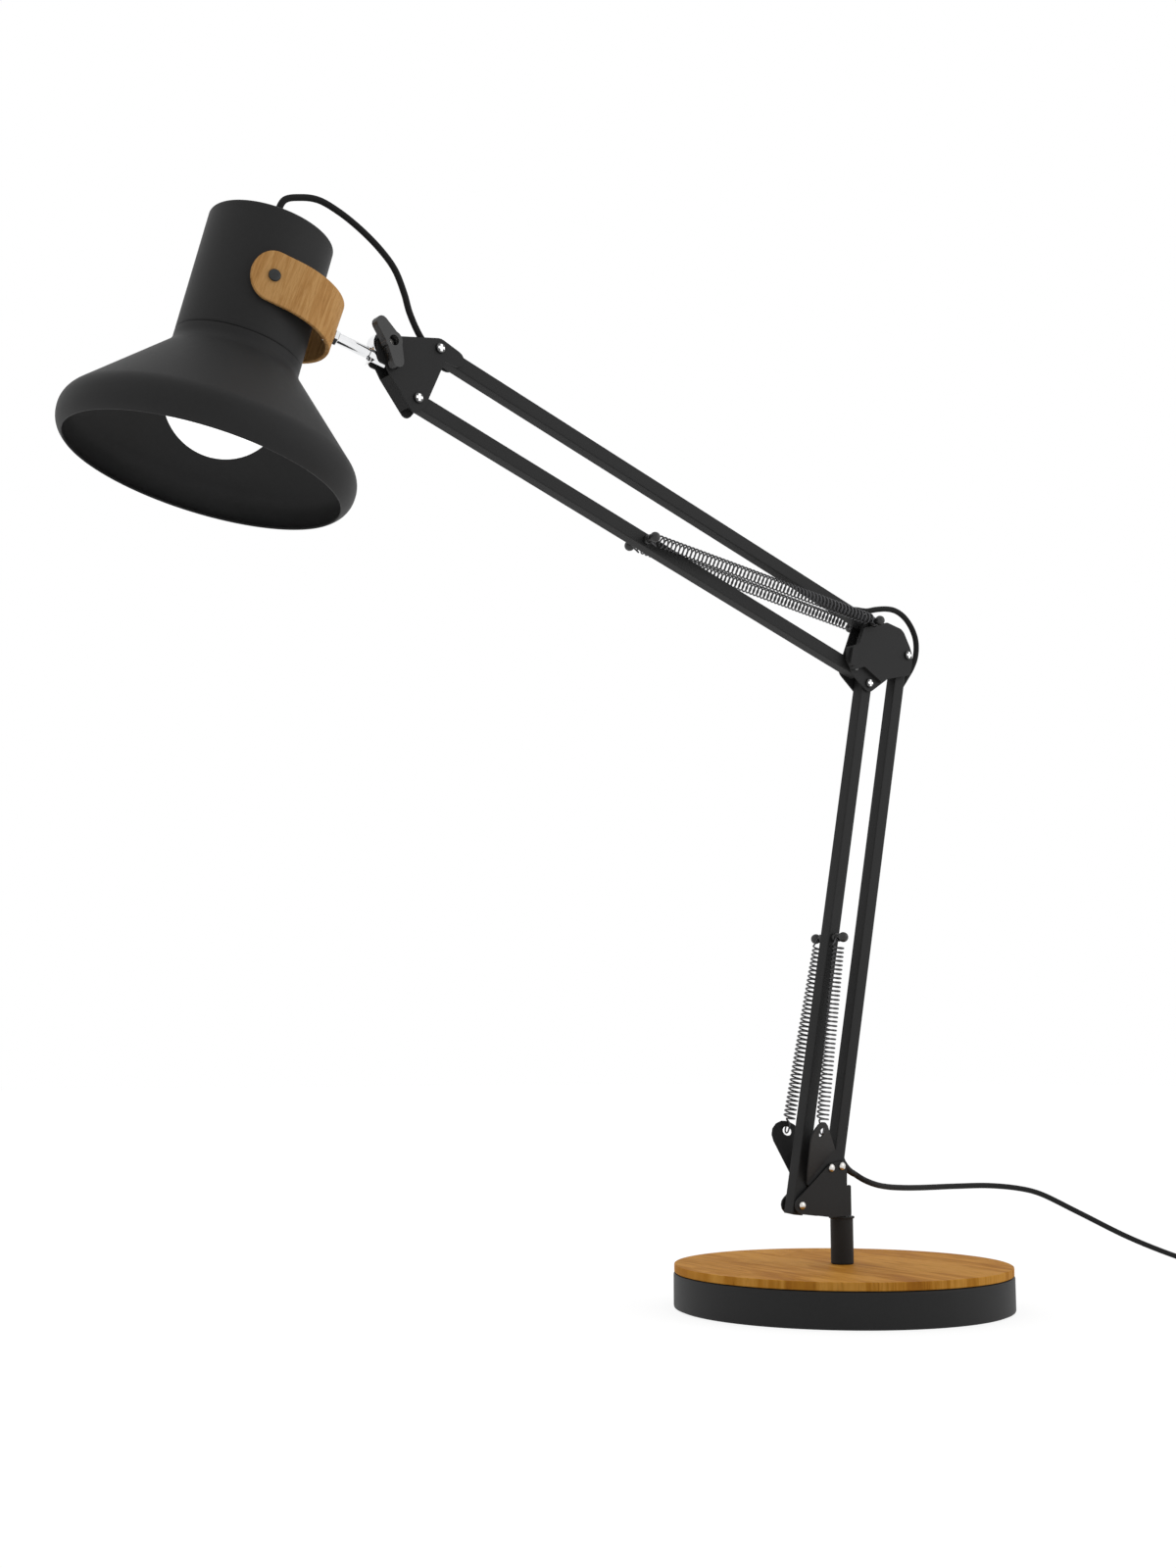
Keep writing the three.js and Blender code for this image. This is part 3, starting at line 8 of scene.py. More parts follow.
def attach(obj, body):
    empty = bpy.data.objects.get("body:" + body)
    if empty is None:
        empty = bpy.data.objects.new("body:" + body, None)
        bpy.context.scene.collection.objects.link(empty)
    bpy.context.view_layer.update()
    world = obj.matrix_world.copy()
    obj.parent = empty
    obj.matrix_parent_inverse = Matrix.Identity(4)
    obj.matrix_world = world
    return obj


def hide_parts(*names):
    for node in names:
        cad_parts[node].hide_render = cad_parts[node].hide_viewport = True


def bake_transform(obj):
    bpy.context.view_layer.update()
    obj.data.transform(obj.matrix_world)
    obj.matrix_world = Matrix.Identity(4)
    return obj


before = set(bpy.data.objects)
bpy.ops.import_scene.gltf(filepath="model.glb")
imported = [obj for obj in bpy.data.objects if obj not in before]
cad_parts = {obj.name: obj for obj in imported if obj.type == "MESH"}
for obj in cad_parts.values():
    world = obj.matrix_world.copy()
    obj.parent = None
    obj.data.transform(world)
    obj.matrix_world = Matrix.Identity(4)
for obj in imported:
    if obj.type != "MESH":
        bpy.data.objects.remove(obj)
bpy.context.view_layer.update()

# A desk lamp with balanced arms: a weighted base with a wooden top, a swivelling bracket, two
# parallelogram arms of square tube held by springs, and a spun head in a bent-wood yoke.
# Points are in millimetres in the part's own frame; meshes are scaled to metres.
MM = 0.001

# Studio: the camera looks slightly up at the lamp from its near left side, a white floor
# runs out of sight, and a white room with two soft lamps lights it at a plain level.
EYE = (-788.47, -810.37, 136.02)
LOOK = (0.5949, 0.7912, 0.1422)
FOCAL = 44.636
SENSOR = 36
CLIP_END = 60
BEHIND_CAMERA = (-0.6, -0.77, 0.2)
SKY = ((0.0, 0.95), (0.5, 1.0), (0.68, 0.8), (0.85, 0.42), (1.0, 0.36))
LAMPS = (("key_lamp", (-1900, -500, 1500), 1.5, 1.4), ("edge_lamp", (900, -1500, 900), 1.2, 5.0))
LAMPS_AIM = Vector((-100, 0, 250))
FLOOR_REACH = 9000
FLOOR_GREY = 0.82
FLOOR_GLOW = 1.16
GLOW_SHARE = 0.72


def placed(name, data):
    """A new object in the scene."""
    made = bpy.data.objects.new(name, data)
    bpy.context.scene.collection.objects.link(made)
    return made


camera_data = bpy.data.cameras.new("camera")
camera_data.lens = FOCAL
camera_data.sensor_width = SENSOR
camera_data.clip_end = CLIP_END
camera = placed("camera", camera_data)
camera.location = MM * Vector(EYE)
camera.rotation_euler = Vector(LOOK).to_track_quat("-Z", "Y").to_euler()
bpy.context.scene.camera = camera
bpy.context.scene.view_settings.view_transform = "Standard"


class Signal:
    """One socket in a finish's nodes. Sums on it add Math nodes."""

    def __init__(self, nodes, socket):
        self.nodes = nodes
        self.socket = socket

    def math(self, operation, *values):
        return self.nodes.add("ShaderNodeMath", {"operation": operation}, dict(enumerate(values)))

    def __add__(self, other):
        return self.math("ADD", self, other)

    __radd__ = __add__

    def __sub__(self, other):
        return self.math("SUBTRACT", self, other)

    def __rsub__(self, other):
        return self.math("SUBTRACT", other, self)

    def __mul__(self, other):
        return self.math("MULTIPLY", self, other)

    __rmul__ = __mul__

    def __getitem__(self, name):
        return Signal(self.nodes, self.socket.node.outputs[name])


class Nodes:
    """The nodes of one finish. add() makes one from its type, settings and sockets."""

    def __init__(self, tree):
        self.tree = tree
        tree.nodes.clear()

    def add(self, kind, settings=None, sockets=None):
        made = self.tree.nodes.new(kind)
        for name, value in (settings or {}).items():
            if name == "stops":
                self.set_stops(made.color_ramp, value)
            else:
                setattr(made, name, value)
        for name, value in (sockets or {}).items():
            if isinstance(value, Signal):
                self.tree.links.new(value.socket, made.inputs[name])
            else:
                made.inputs[name].default_value = value
        return Signal(self, made.outputs[0]) if made.outputs else made

    @staticmethod
    def set_stops(ramp, stops):
        while len(ramp.elements) < len(stops):
            ramp.elements.new(1.0)
        for element, (place, colour) in zip(ramp.elements, stops):
            element.position = place
            element.color = (*colour, 1.0)


def named_finish(name):
    material = bpy.data.materials.new(name)
    material.use_nodes = True
    return material, Nodes(material.node_tree)


def background_rays(nodes):
    """1 on each ray that shows the white background itself, and 0 on those that light the lamp."""
    ray = nodes.add("ShaderNodeLightPath")
    seen = ray["Is Camera Ray"]
    for kind in ("Is Glossy Ray", "Is Transmission Ray"):
        seen = seen.math("MAXIMUM", seen, ray[kind])
    return seen


world = bpy.data.worlds.new("room")
bpy.context.scene.world = world
world.use_nodes = True
room = Nodes(world.node_tree)
way = room.add("ShaderNodeTexCoord")["Generated"]
front = room.add("ShaderNodeVectorMath", {"operation": "DOT_PRODUCT"}, {0: way, 1: BEHIND_CAMERA})["Value"]
sky = room.add("ShaderNodeValToRGB", {"stops": [(at, (grey,) * 3) for at, grey in SKY]},
               {0: front * 0.5 + 0.5})
dim = room.add("ShaderNodeBackground", None, {"Color": sky, "Strength": 1.0})
bright = room.add("ShaderNodeBackground", None, {"Color": (1, 1, 1, 1), "Strength": 1.0})
mixed = room.add("ShaderNodeMixShader", None, {0: background_rays(room), 1: dim, 2: bright})
room.add("ShaderNodeOutputWorld", None, {"Surface": mixed})

for name, place, size, power in LAMPS:
    lamp_data = bpy.data.lights.new(name, "AREA")
    lamp_data.size = size
    lamp_data.energy = power
    lamp = placed(name, lamp_data)
    lamp.location = MM * Vector(place)
    lamp.rotation_euler = (LAMPS_AIM - Vector(place)).to_track_quat("-Z", "Y").to_euler()

floor_mesh = bpy.data.meshes.new("floor")
floor_mesh.from_pydata([(MM * FLOOR_REACH * x, MM * FLOOR_REACH * y, 0)
                        for x, y in ((-1, -1), (1, -1), (1, 1), (-1, 1))], [], [(0, 1, 2, 3)])
floor = placed("floor", floor_mesh)
floor_finish, ground = named_finish("white_floor")
paper = ground.add("ShaderNodeBsdfDiffuse", None, {"Color": (FLOOR_GREY, FLOOR_GREY, FLOOR_GREY, 1)})
glow = ground.add("ShaderNodeEmission", None, {"Color": (1, 1, 1, 1), "Strength": FLOOR_GLOW})
mixed = ground.add("ShaderNodeMixShader", None, {
    0: background_rays(ground) * GLOW_SHARE, 1: paper, 2: glow})
ground.add("ShaderNodeOutputMaterial", None, {"Surface": mixed})
floor_mesh.materials.append(floor_finish)

# Base shell: a drawn steel dish turned upside down over the weight, its edge rounded by the
# press and powder-coated satin black. Its middle is bored for the post's threaded shank.
BASE_RADIUS = 95.0
BASE_HEIGHT = 19.5
SHELL_WALL = 1.5
SHELL_EDGE = 1.4
SHELL_FOOT = 0.6
BORE = 5.3
FINE_ROUND = 224
FULL_TURN = 2 * math.pi


def piece_of(name, points, faces, place=None):
    """A new object from points in millimetres, put in place and scaled to metres."""
    place = place or Matrix.Identity(4)
    mesh = bpy.data.meshes.new(name)
    mesh.from_pydata([MM * (place @ Vector(point)) for point in points], [], faces)
    shape = bmesh.new()
    shape.from_mesh(mesh)
    bmesh.ops.remove_doubles(shape, verts=shape.verts, dist=1e-7)
    bmesh.ops.recalc_face_normals(shape, faces=shape.faces)
    shape.to_mesh(mesh)
    shape.free()
    return placed(name, mesh)


def eased(profile, radius, closed=True, steps=4):
    """A profile whose sharp corners are rounded off."""
    shallow, most = 0.4, 0.45
    result = []
    count = len(profile)
    for i, corner in enumerate(profile):
        here = Vector(corner)
        back = Vector(profile[i - 1]) - here
        on = Vector(profile[(i + 1) % count]) - here
        at_end = not closed and i in (0, count - 1)
        if at_end or min(back.length, on.length) < 1e-6 or math.pi - back.angle(on) < shallow:
            result.append(here)
            continue
        start = here + back.normalized() * min(radius, most * back.length)
        end = here + on.normalized() * min(radius, most * on.length)
        for k in range(steps + 1):
            t = k / steps
            result.append(start * (1 - t) ** 2 + here * 2 * t * (1 - t) + end * t * t)
    return result


def turned(name, profile, place=None, closed=True, segments=96):
    """A piece turned on its Z axis from (radius, height) points; an open profile ends on the axis."""
    points, rings = [], []
    for radius, high in profile:
        if radius < 1e-5:
            rings.append([len(points)] * segments)
            points.append((0, 0, high))
            continue
        rings.append(range(len(points), len(points) + segments))
        points += [(radius * math.cos(a), radius * math.sin(a), high)
                   for a in (FULL_TURN * k / segments for k in range(segments))]
    faces = []
    for i in range(len(rings) if closed else len(rings) - 1):
        low, high = rings[i], rings[(i + 1) % len(rings)]
        for k in range(segments):
            on = (k + 1) % segments
            corners = list(dict.fromkeys([low[k], low[on], high[on], high[k]]))
            if len(corners) > 2:
                faces.append(corners)
    return piece_of(name, points, faces, place)


def evaluated(piece):
    """The piece's mesh with its modifiers worked in."""
    graph = bpy.context.evaluated_depsgraph_get()
    mesh = bpy.data.meshes.new_from_object(piece.evaluated_get(graph), depsgraph=graph)
    piece.modifiers.clear()
    piece.data = mesh
    return piece


def settled(piece, angle=38):
    """The piece as one plain mesh, smooth apart from its sharp edges."""
    piece.modifiers.new("even_shading", "WEIGHTED_NORMAL").keep_sharp = True
    piece.data.shade_smooth()
    piece.data.set_sharp_from_angle(angle=math.radians(angle))
    return evaluated(piece)


def coated(piece, finish):
    piece.data.materials.clear()
    piece.data.materials.append(finish)
    return piece


def fitted(piece, body, slot, finish, *nodes):
    """The piece gets its finish, rides on its body and stands for the solids it replaces."""
    coated(piece, finish)
    for face in piece.data.polygons:
        face.material_index = 0
    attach(piece, body)
    if nodes:
        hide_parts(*nodes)
    return piece


def spun(name, profile, body, slot, finish, *nodes, sharp=38, **form):
    """A turned piece, settled and fitted."""
    fitted(settled(turned(name, profile, **form), sharp), body, slot, finish, *nodes)


def noise(nodes, place, scale, detail, **more):
    return nodes.add("ShaderNodeTexNoise", None, {
        "Vector": place, "Scale": scale, "Detail": detail, **more})


def noises(nodes, *kinds):
    """Noise on the piece's own coordinates, one for each scale and detail."""
    place = nodes.add("ShaderNodeTexCoord")["Object"]
    return [noise(nodes, place, scale, detail) for scale, detail in kinds]


def shades(nodes, by, *stops):
    return nodes.add("ShaderNodeValToRGB", {"stops": stops}, {0: by})


def bumps(nodes, height, strength, distance):
    return nodes.add("ShaderNodeBump", None, {
        "Strength": strength, "Distance": distance, "Height": height})


def surface(nodes, sockets):
    shader = nodes.add("ShaderNodeBsdfPrincipled", None, sockets)
    nodes.add("ShaderNodeOutputMaterial", None, {"Surface": shader})


def powder_coat(name, tone, roughness, grain):
    """Baked powder: a fine pebbled skin whose gloss and tone drift a little from place to place."""
    material, nodes = named_finish(name)
    pebble, drift, speck = noises(nodes, (1400.0, 3.0), (26.0, 4.0), (420.0, 2.0))
    surface(nodes, {
        "Base Color": shades(nodes, drift * 0.7 + speck * 0.3, (0.3, (tone * 0.86,) * 3),
                             (0.7, (tone * 1.14, tone * 1.14, tone * 1.16))),
        "Roughness": drift * 0.12 + speck * 0.06 + (roughness - 0.09), "Specular IOR Level": 0.17,
        "Normal": bumps(nodes, pebble, grain, 0.00012)})
    return material


black_paint = powder_coat("satin_black_powder", 0.02, 0.56, 0.3)
shell_inside = BASE_RADIUS - SHELL_WALL
spun("base_dish", eased([
    (BORE, BASE_HEIGHT - SHELL_WALL), (shell_inside, BASE_HEIGHT - SHELL_WALL), (shell_inside, SHELL_FOOT),
    (BASE_RADIUS, SHELL_FOOT), (BASE_RADIUS, BASE_HEIGHT), (BORE, BASE_HEIGHT)], SHELL_EDGE, steps=7),
    "base", "black_paint", black_paint, "base_shell", segments=FINE_ROUND)

# Weight, pad, washer and nut under the base: a cast-iron disc ground flat, a rubber pad
# glued over it, and plain bright hardware in the counterbore that draws the post down.
PAD = ((0, 0), (93.2, 0), (93.2, 1.8), (0, 1.8))
WIDEST_ROUND = 1.5
FLAT = math.radians(2)
LEAST_ROUND = math.radians(7)


def cast_iron():
    """Rough sand casting, darker in patches."""
    material, nodes = named_finish("cast_iron")
    sand, patch = noises(nodes, (700.0, 6.0), (55.0, 3.0))
    surface(nodes, {
        "Base Color": shades(nodes, patch * 0.6 + sand * 0.4, (0.3, (0.045, 0.043, 0.042)),
                             (0.7, (0.1, 0.098, 0.096))),
        "Metallic": 0.7, "Roughness": patch * 0.2 + 0.5, "Normal": bumps(nodes, sand, 0.6, 0.0003)})
    return material


def rubber(name, tone, roughness, sheen_scale):
    """Soft black compound with a faint dusty bloom."""
    material, nodes = named_finish(name)
    skin, bloom = noises(nodes, (sheen_scale, 4.0), (60.0, 3.0))
    surface(nodes, {
        "Base Color": shades(nodes, bloom * 0.7 + skin * 0.3, (0.25, (tone * 0.8,) * 3),
                             (0.75, (tone * 1.25,) * 3)),
        "Roughness": bloom * 0.16 + (roughness - 0.08), "Specular IOR Level": 0.16,
        "Normal": bumps(nodes, skin, 0.25, 0.0001)})
    return material


def polished_steel(name, colour, roughness):
    """Turned or headed steel: fine tool rings round the piece and a mirror-like crown."""
    material, nodes = named_finish(name)
    place = nodes.add("ShaderNodeTexCoord")["Object"]
    rings = nodes.add("ShaderNodeMapping", None, {"Vector": place, "Scale": (2600.0, 60.0, 2600.0)})
    haze, scratch = noise(nodes, place, 300.0, 4.0), noise(nodes, rings, 1.0, 2.0)
    surface(nodes, {
        "Base Color": shades(nodes, haze, (0.3, tuple(c * 0.86 for c in colour)), (0.7, colour)),
        "Metallic": 1.0, "Roughness": haze * 0.12 + scratch * 0.08 + (roughness - 0.08),
        "Normal": bumps(nodes, scratch, 0.08, 0.0001)})
    return material


def dressed(node, edge, segments=2, angle=32, rounding=3):
    """A fine copy of a solid: its doubles merged, its flat faces joined, its rounds made rounder
    and its edges broken."""
    shape = bmesh.new()
    shape.from_mesh(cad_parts[node].data)
    bmesh.ops.remove_doubles(shape, verts=shape.verts, dist=3e-6)
    bmesh.ops.dissolve_limit(shape, angle_limit=FLAT, verts=shape.verts, edges=shape.edges)
    weight = shape.edges.layers.float.new("bevel_weight_edge")
    widest_bend = math.radians(angle + 6)
    for side in shape.edges:
        if rounding and len(side.link_faces) == 2 and LEAST_ROUND < side.calc_face_angle() < widest_bend:
            strip = min(face.calc_area() for face in side.link_faces) / side.calc_length()
            side[weight] = min(1.0, 0.42 * strip / (MM * WIDEST_ROUND))
    mesh = bpy.data.meshes.new(node)
    shape.to_mesh(mesh)
    shape.free()
    piece = placed(f"{node}_finished", mesh)
    if rounding:
        rounder = piece.modifiers.new("rounder", "BEVEL")
        rounder.width = MM * WIDEST_ROUND
        rounder.segments = rounding
        rounder.limit_method = "WEIGHT"
    breaking = piece.modifiers.new("broken_edges", "BEVEL")
    breaking.width = MM * edge
    breaking.segments = segments
    breaking.limit_method = "ANGLE"
    breaking.angle_limit = math.radians(angle)
    breaking.miter_outer = "MITER_ARC"
    return settled(piece, 40)


def refined(node, body, slot, finish, *edges):
    """A solid's fine copy, fitted in its place."""
    return fitted(dressed(node, *edges), body, slot, finish, node)


black_rubber = rubber("black_rubber", 0.016, 0.62, 900.0)
bright_steel = polished_steel("bright_steel", (0.72, 0.7, 0.67), 0.24)
coated(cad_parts["base_weight"], cast_iron())
spun("base_mat", eased(PAD, 0.4, closed=False), "base", "black_rubber", black_rubber, "base_pad",
     closed=False, segments=160)
for node in ("post_washer", "post_nut"):
    refined(node, "base", "bright_steel", bright_steel, 0.3)

# Wooden top: a solid turned disc of oiled hardwood with a softened edge, the grain running
# away from the viewer, so that the rim shows it as short upright streaks.
WOOD_LOW = 19.8
WOOD_TOP = 24.3
WOOD_RADIUS = 94.6
PORE = (0.45, 0.36, 0.28, 1)


def hardwood(name, stretch, turn, dark, middle, light, pores, grain=None):
    """Long soft bands of early and late wood, with fine dark pores drawn out along the grain."""
    material, nodes = named_finish(name)
    if grain:
        place = nodes.add("ShaderNodeAttribute", {"attribute_name": grain})["Vector"]
    else:
        place = nodes.add("ShaderNodeTexCoord")["Object"]
    board = nodes.add("ShaderNodeMapping", None, {"Vector": place, "Rotation": (0, 0, turn)})

    def drawn_out(along, across):
        return nodes.add("ShaderNodeMapping", None, {
            "Vector": board, "Scale": (stretch[0] * along, stretch[1] * across, stretch[2] * across)})

    bent = noise(nodes, place, 9.0, 2.0)
    bands = noise(nodes, drawn_out(1, 1), 1.0, 5.0, Roughness=0.62, Distortion=0.9)
    fibre = noise(nodes, drawn_out(9, 4), 1.0, 4.0)
    pore = noise(nodes, drawn_out(22, 7), 1.0, 1.0)
    mask = nodes.add("ShaderNodeMapRange", {"clamp": True}, {
        "Value": pore, "From Min": 0.6, "From Max": 0.74})
    colour = shades(nodes, bands * 0.62 + fibre * 0.26 + bent * 0.12, (0.33, dark), (0.47, middle),
                    (0.56, light), (0.7, middle))
    shaded = nodes.add("ShaderNodeMix", {"data_type": "RGBA", "blend_type": "MULTIPLY"}, {
        0: mask * pores, 6: colour, 7: PORE})
    surface(nodes, {
        "Base Color": Signal(nodes, shaded.socket.node.outputs[2]),
        "Roughness": fibre * 0.16 + mask * 0.12 + 0.5, "Specular IOR Level": 0.02,
        "Normal": bumps(nodes, fibre - mask * 0.5, 0.22, 0.00015)})
    return material


top_wood = hardwood("oiled_top", (75.0, 9.0, 9.0), 0.14, (0.31, 0.112, 0.013), (0.44, 0.184, 0.022),
                    (0.58, 0.278, 0.052), 0.5)
spun("wooden_top", eased([
    (BORE, WOOD_LOW), (WOOD_RADIUS, WOOD_LOW), (WOOD_RADIUS, WOOD_TOP), (BORE, WOOD_TOP)], 0.6),
    "base", "oak_top", top_wood, "wood_top", segments=FINE_ROUND)

# Post: a turned steel socket with a small collar on top and a threaded shank that goes down
# through the wood, the dish and the weight.
SHANK = 5
SHANK_END = 4
POST_FOOT = 24.6
POST_TOP = 50.7
POST_RADIUS = 6.4
POST_COLLAR = 7.2
COLLAR_FOOT = POST_TOP - 1.2
SOCKET = 4
SOCKET_END = 30.7
spun("arm_post", eased([
    (0, SHANK_END), (SHANK, SHANK_END), (SHANK, POST_FOOT), (POST_RADIUS, POST_FOOT),
    (POST_RADIUS, COLLAR_FOOT), (POST_COLLAR, COLLAR_FOOT), (POST_COLLAR, POST_TOP), (SOCKET, POST_TOP),
    (SOCKET, SOCKET_END), (0, SOCKET_END)], 0.35, closed=False),
    "base", "black_paint", black_paint, "post", closed=False, segments=72)

# Swivelling bracket: two pressed plates riveted on each side of the tubes' lower ends, with
# the steel swivel block between them, and two ears of thinner sheet that carry the springs.
SHEET_EDGE = 0.22
SIDES = (("near", -1), ("far", 1))
refined("swivel_pin", "arm_bracket", "bright_steel", bright_steel, 0.4)
for word, side in SIDES:
    for node in (f"bracket_plate_{word}", f"spring_ear_{word}"):
        refined(node, "arm_bracket", "black_paint", black_paint, SHEET_EDGE)

# Rivets and pins: headed steel pins across the arm's plane. The bracket's are plain bright
# domes, and those at the elbow and the head have a bright cross in a dark head.
LOWER_FRONT = (-36.0, 58.3)
LOWER_BACK = (-5.1, 78.7)
EAR_RIVET = (-13.3, 78.0)
ELBOW_FRONT = (25.468, 359.083)
ELBOW_BACK = (56.368, 379.483)
ELBOW_LOWER = (15.468, 367.183)
ELBOW_UPPER = (28.168, 396.183)
HEAD_LOWER = (-290.169, 468.204)
HEAD_UPPER = (-277.469, 497.204)
PIN = 1.5
HEAD = 2.3
HEAD_HIGH = 1.4
PAN = 2.65
PAN_HIGH = 1.2
GAP = 0.3
# How far the pins reach from the arm's plane to the faces of the sheets that they hold.
TUBE_FACE = 2.8
EAR_FACE = 4.05
SHEET_FACE = 5.05
BRACKET_FACE = 6.15
COVER_FACE = 7.35


def across(x, z):
    """A turned piece's axis laid across the arm's plane at a pivot; its Z becomes -Y."""
    return Matrix.Translation((x, 0, z)) @ Matrix.Rotation(math.radians(90), 4, "X")


def dome(reach):
    """A round head from its rim to its crown."""
    return [(HEAD * math.cos(k * math.pi / 16), reach + HEAD_HIGH * math.sin(k * math.pi / 16))
            for k in range(9)]


def pan(reach):
    """A flat pan head with a rounded rim, which carries a cross."""
    rim = [(PAN * (0.74 + 0.26 * math.cos(k * math.pi / 12)),
            reach + PAN_HIGH * (0.5 + 0.5 * math.sin(k * math.pi / 12))) for k in range(1, 7)]
    return [(PAN, reach), *rim, (0, reach + PAN_HIGH)]


def riveted(name, at, near, far, body, node, finish, flush=False, head=dome):
    """A pin with a head on each side, or with its near end flush under the elbow's cover."""
    near, far = near + (0 if flush else GAP), far + GAP
    front = [(PIN, near), (0, near)] if flush else [(PIN, near), *head(near)]
    back = [(radius, -high) for radius, high in reversed([(PIN, far), *head(far)])]
    spun(name, back + front, body, "bright_steel", finish, node, sharp=50, place=across(*at), closed=False,
         segments=32)


def one_sided(name, at, low, high, side, body, node, finish, head=dome):
    """A short pin on one side of the arm, its head outwards."""
    profile = [(0, low), (PIN, low), (PIN, high + GAP), *head(high + GAP)]
    place = across(*at) if side < 0 else across(*at) @ Matrix.Rotation(math.pi, 4, "X")
    spun(name, profile, body, "bright_steel", finish, node, sharp=50, place=place, closed=False, segments=32)


dark_steel = polished_steel("dark_rivet_steel", (0.1, 0.1, 0.1), 0.3)
for name, at in (("front", LOWER_FRONT), ("back", LOWER_BACK)):
    riveted(f"{name}_rivet", at, BRACKET_FACE, BRACKET_FACE, "arm_bracket", f"bracket_{name}_pin",
            bright_steel)
for word, side in SIDES:
    one_sided(f"ear_{word}_rivet", EAR_RIVET, EAR_FACE, BRACKET_FACE, side, "arm_bracket",
              f"ear_rivet_{word}", bright_steel)
    one_sided(f"head_{word}_rivet", HEAD_UPPER, TUBE_FACE, SHEET_FACE, side, "head_mount",
              f"head_upper_pin_{word}", dark_steel, pan)
for name, at, near, body in (("elbow_front", ELBOW_FRONT, SHEET_FACE, "elbow"),
                             ("elbow_back", ELBOW_BACK, COVER_FACE, "elbow"),
                             ("elbow_lower", ELBOW_LOWER, SHEET_FACE, "elbow"),
                             ("head_lower", HEAD_LOWER, SHEET_FACE, "head_mount")):
    riveted(f"{name}_rivet", at, near, SHEET_FACE, body, f"{name}_pin", dark_steel,
            flush=name == "elbow_lower", head=pan)


def make_tree(name, inputs):
    """An empty tree of geometry nodes with one shape in and out, and named sizes."""
    tree = bpy.data.node_groups.new(name, "GeometryNodeTree")
    tree.interface.new_socket("Shape", in_out="INPUT", socket_type="NodeSocketGeometry")
    sockets = {word: tree.interface.new_socket(word, in_out="INPUT", socket_type=kind).identifier
               for word, kind in inputs.items()}
    tree.interface.new_socket("Shape", in_out="OUTPUT", socket_type="NodeSocketGeometry")
    return tree, sockets


def close_tree(nodes, shape, metal):
    whole = nodes.add("GeometryNodeRealizeInstances", None, {0: shape})
    done = nodes.add("GeometryNodeSetMaterial", None, {0: whole, "Material": metal})
    nodes.add("NodeGroupOutput", None, {0: done})


def run_tree(name, points, edges, tree, sockets, values, facing=None):
    """The tree worked on a few points in millimetres, and turned into a plain mesh."""
    mesh = bpy.data.meshes.new(name)
    mesh.from_pydata([MM * Vector(p) for p in points], edges, [])
    if facing:
        mesh.attributes.new("facing", "FLOAT_VECTOR", "POINT").data.foreach_set(
            "vector", [value for way in facing for value in way])
    piece = placed(name, mesh)
    modifier = piece.modifiers.new("made", "NODES")
    modifier.node_group = tree
    for word, value in values.items():
        modifier[sockets[word]] = value
    return evaluated(piece)


def cross_tree():
    """A raised cross on each head, turned to face the way that the head does."""
    tree, sockets = make_tree("cross_recess", {"Span": "NodeSocketFloat", "Width": "NodeSocketFloat",
                                               "Depth": "NodeSocketFloat", "Metal": "NodeSocketMaterial"})
    nodes = Nodes(tree)
    given = nodes.add("NodeGroupInput")
    span, width, depth = given["Span"], given["Width"], given["Depth"]
    arms = []
    for one, other, deep in ((span, width, depth), (width, span, depth * 0.9)):
        size = nodes.add("ShaderNodeCombineXYZ", None, {"X": one, "Y": other, "Z": deep})
        arms.append(nodes.add("GeometryNodeMeshCube", None, {"Size": size}))
    cross = nodes.add("GeometryNodeJoinGeometry")
    for arm in arms:
        tree.links.new(arm.socket, cross.socket.node.inputs[0])
    way = nodes.add("GeometryNodeInputNamedAttribute", {"data_type": "FLOAT_VECTOR"}, {"Name": "facing"})
    turn = nodes.add("FunctionNodeAlignRotationToVector", {"axis": "Z"}, {"Vector": way})
    close_tree(nodes, nodes.add("GeometryNodeInstanceOnPoints", None, {
        "Points": given["Shape"], "Instance": cross, "Rotation": turn}), given["Metal"])
    return tree, sockets


cross_steel = polished_steel("cross_steel", (0.93, 0.93, 0.92), 0.2)
cross, cross_sockets = cross_tree()
CROSS = {"Span": MM * 3.6, "Width": MM * 1.15, "Depth": MM * 0.3, "Metal": cross_steel}
CROWN = GAP + PAN_HIGH - 0.06
for body, heads in (("elbow", [(ELBOW_FRONT, SHEET_FACE, 1), (ELBOW_FRONT, SHEET_FACE, -1),
                               (ELBOW_BACK, COVER_FACE, -1), (ELBOW_BACK, SHEET_FACE, 1),
                               (ELBOW_LOWER, SHEET_FACE, 1)]),
                    ("head_mount", [(HEAD_LOWER, SHEET_FACE, 1), (HEAD_LOWER, SHEET_FACE, -1),
                                    (HEAD_UPPER, SHEET_FACE, 1), (HEAD_UPPER, SHEET_FACE, -1)])):
    spots = [(at[0], side * (reach + CROWN), at[1]) for at, reach, side in heads]
    marks = run_tree(f"{body}_crosses", spots, [], cross, cross_sockets, CROSS,
                     [(0, side, 0) for at, reach, side in heads])
    fitted(settled(marks, 30), body, "bright_steel", cross_steel)

# Arm tubes: seamless square steel tube with rounded corners, slotted where the cord goes in
# and out, powder-coated after the holes are pierced.
for node, body in (("lower_front_tube", "lower_front_arm"), ("lower_back_tube", "lower_back_arm"),
                   ("upper_lower_tube", "upper_lower_arm"), ("upper_top_tube", "upper_top_arm")):
    refined(node, body, "black_paint", black_paint, 0.12, 2, 30, 0)

# Elbow: two thin plates riveted round the four tube ends, and a thicker cover plate on the
# near side with a grip folded out of it.
for node, edge, segments in (("elbow_plate_near", SHEET_EDGE, 2), ("elbow_plate_far", SHEET_EDGE, 2),
                             ("elbow_cover", 0.5, 3)):
    refined(node, "elbow", "black_paint", black_paint, edge, segments)

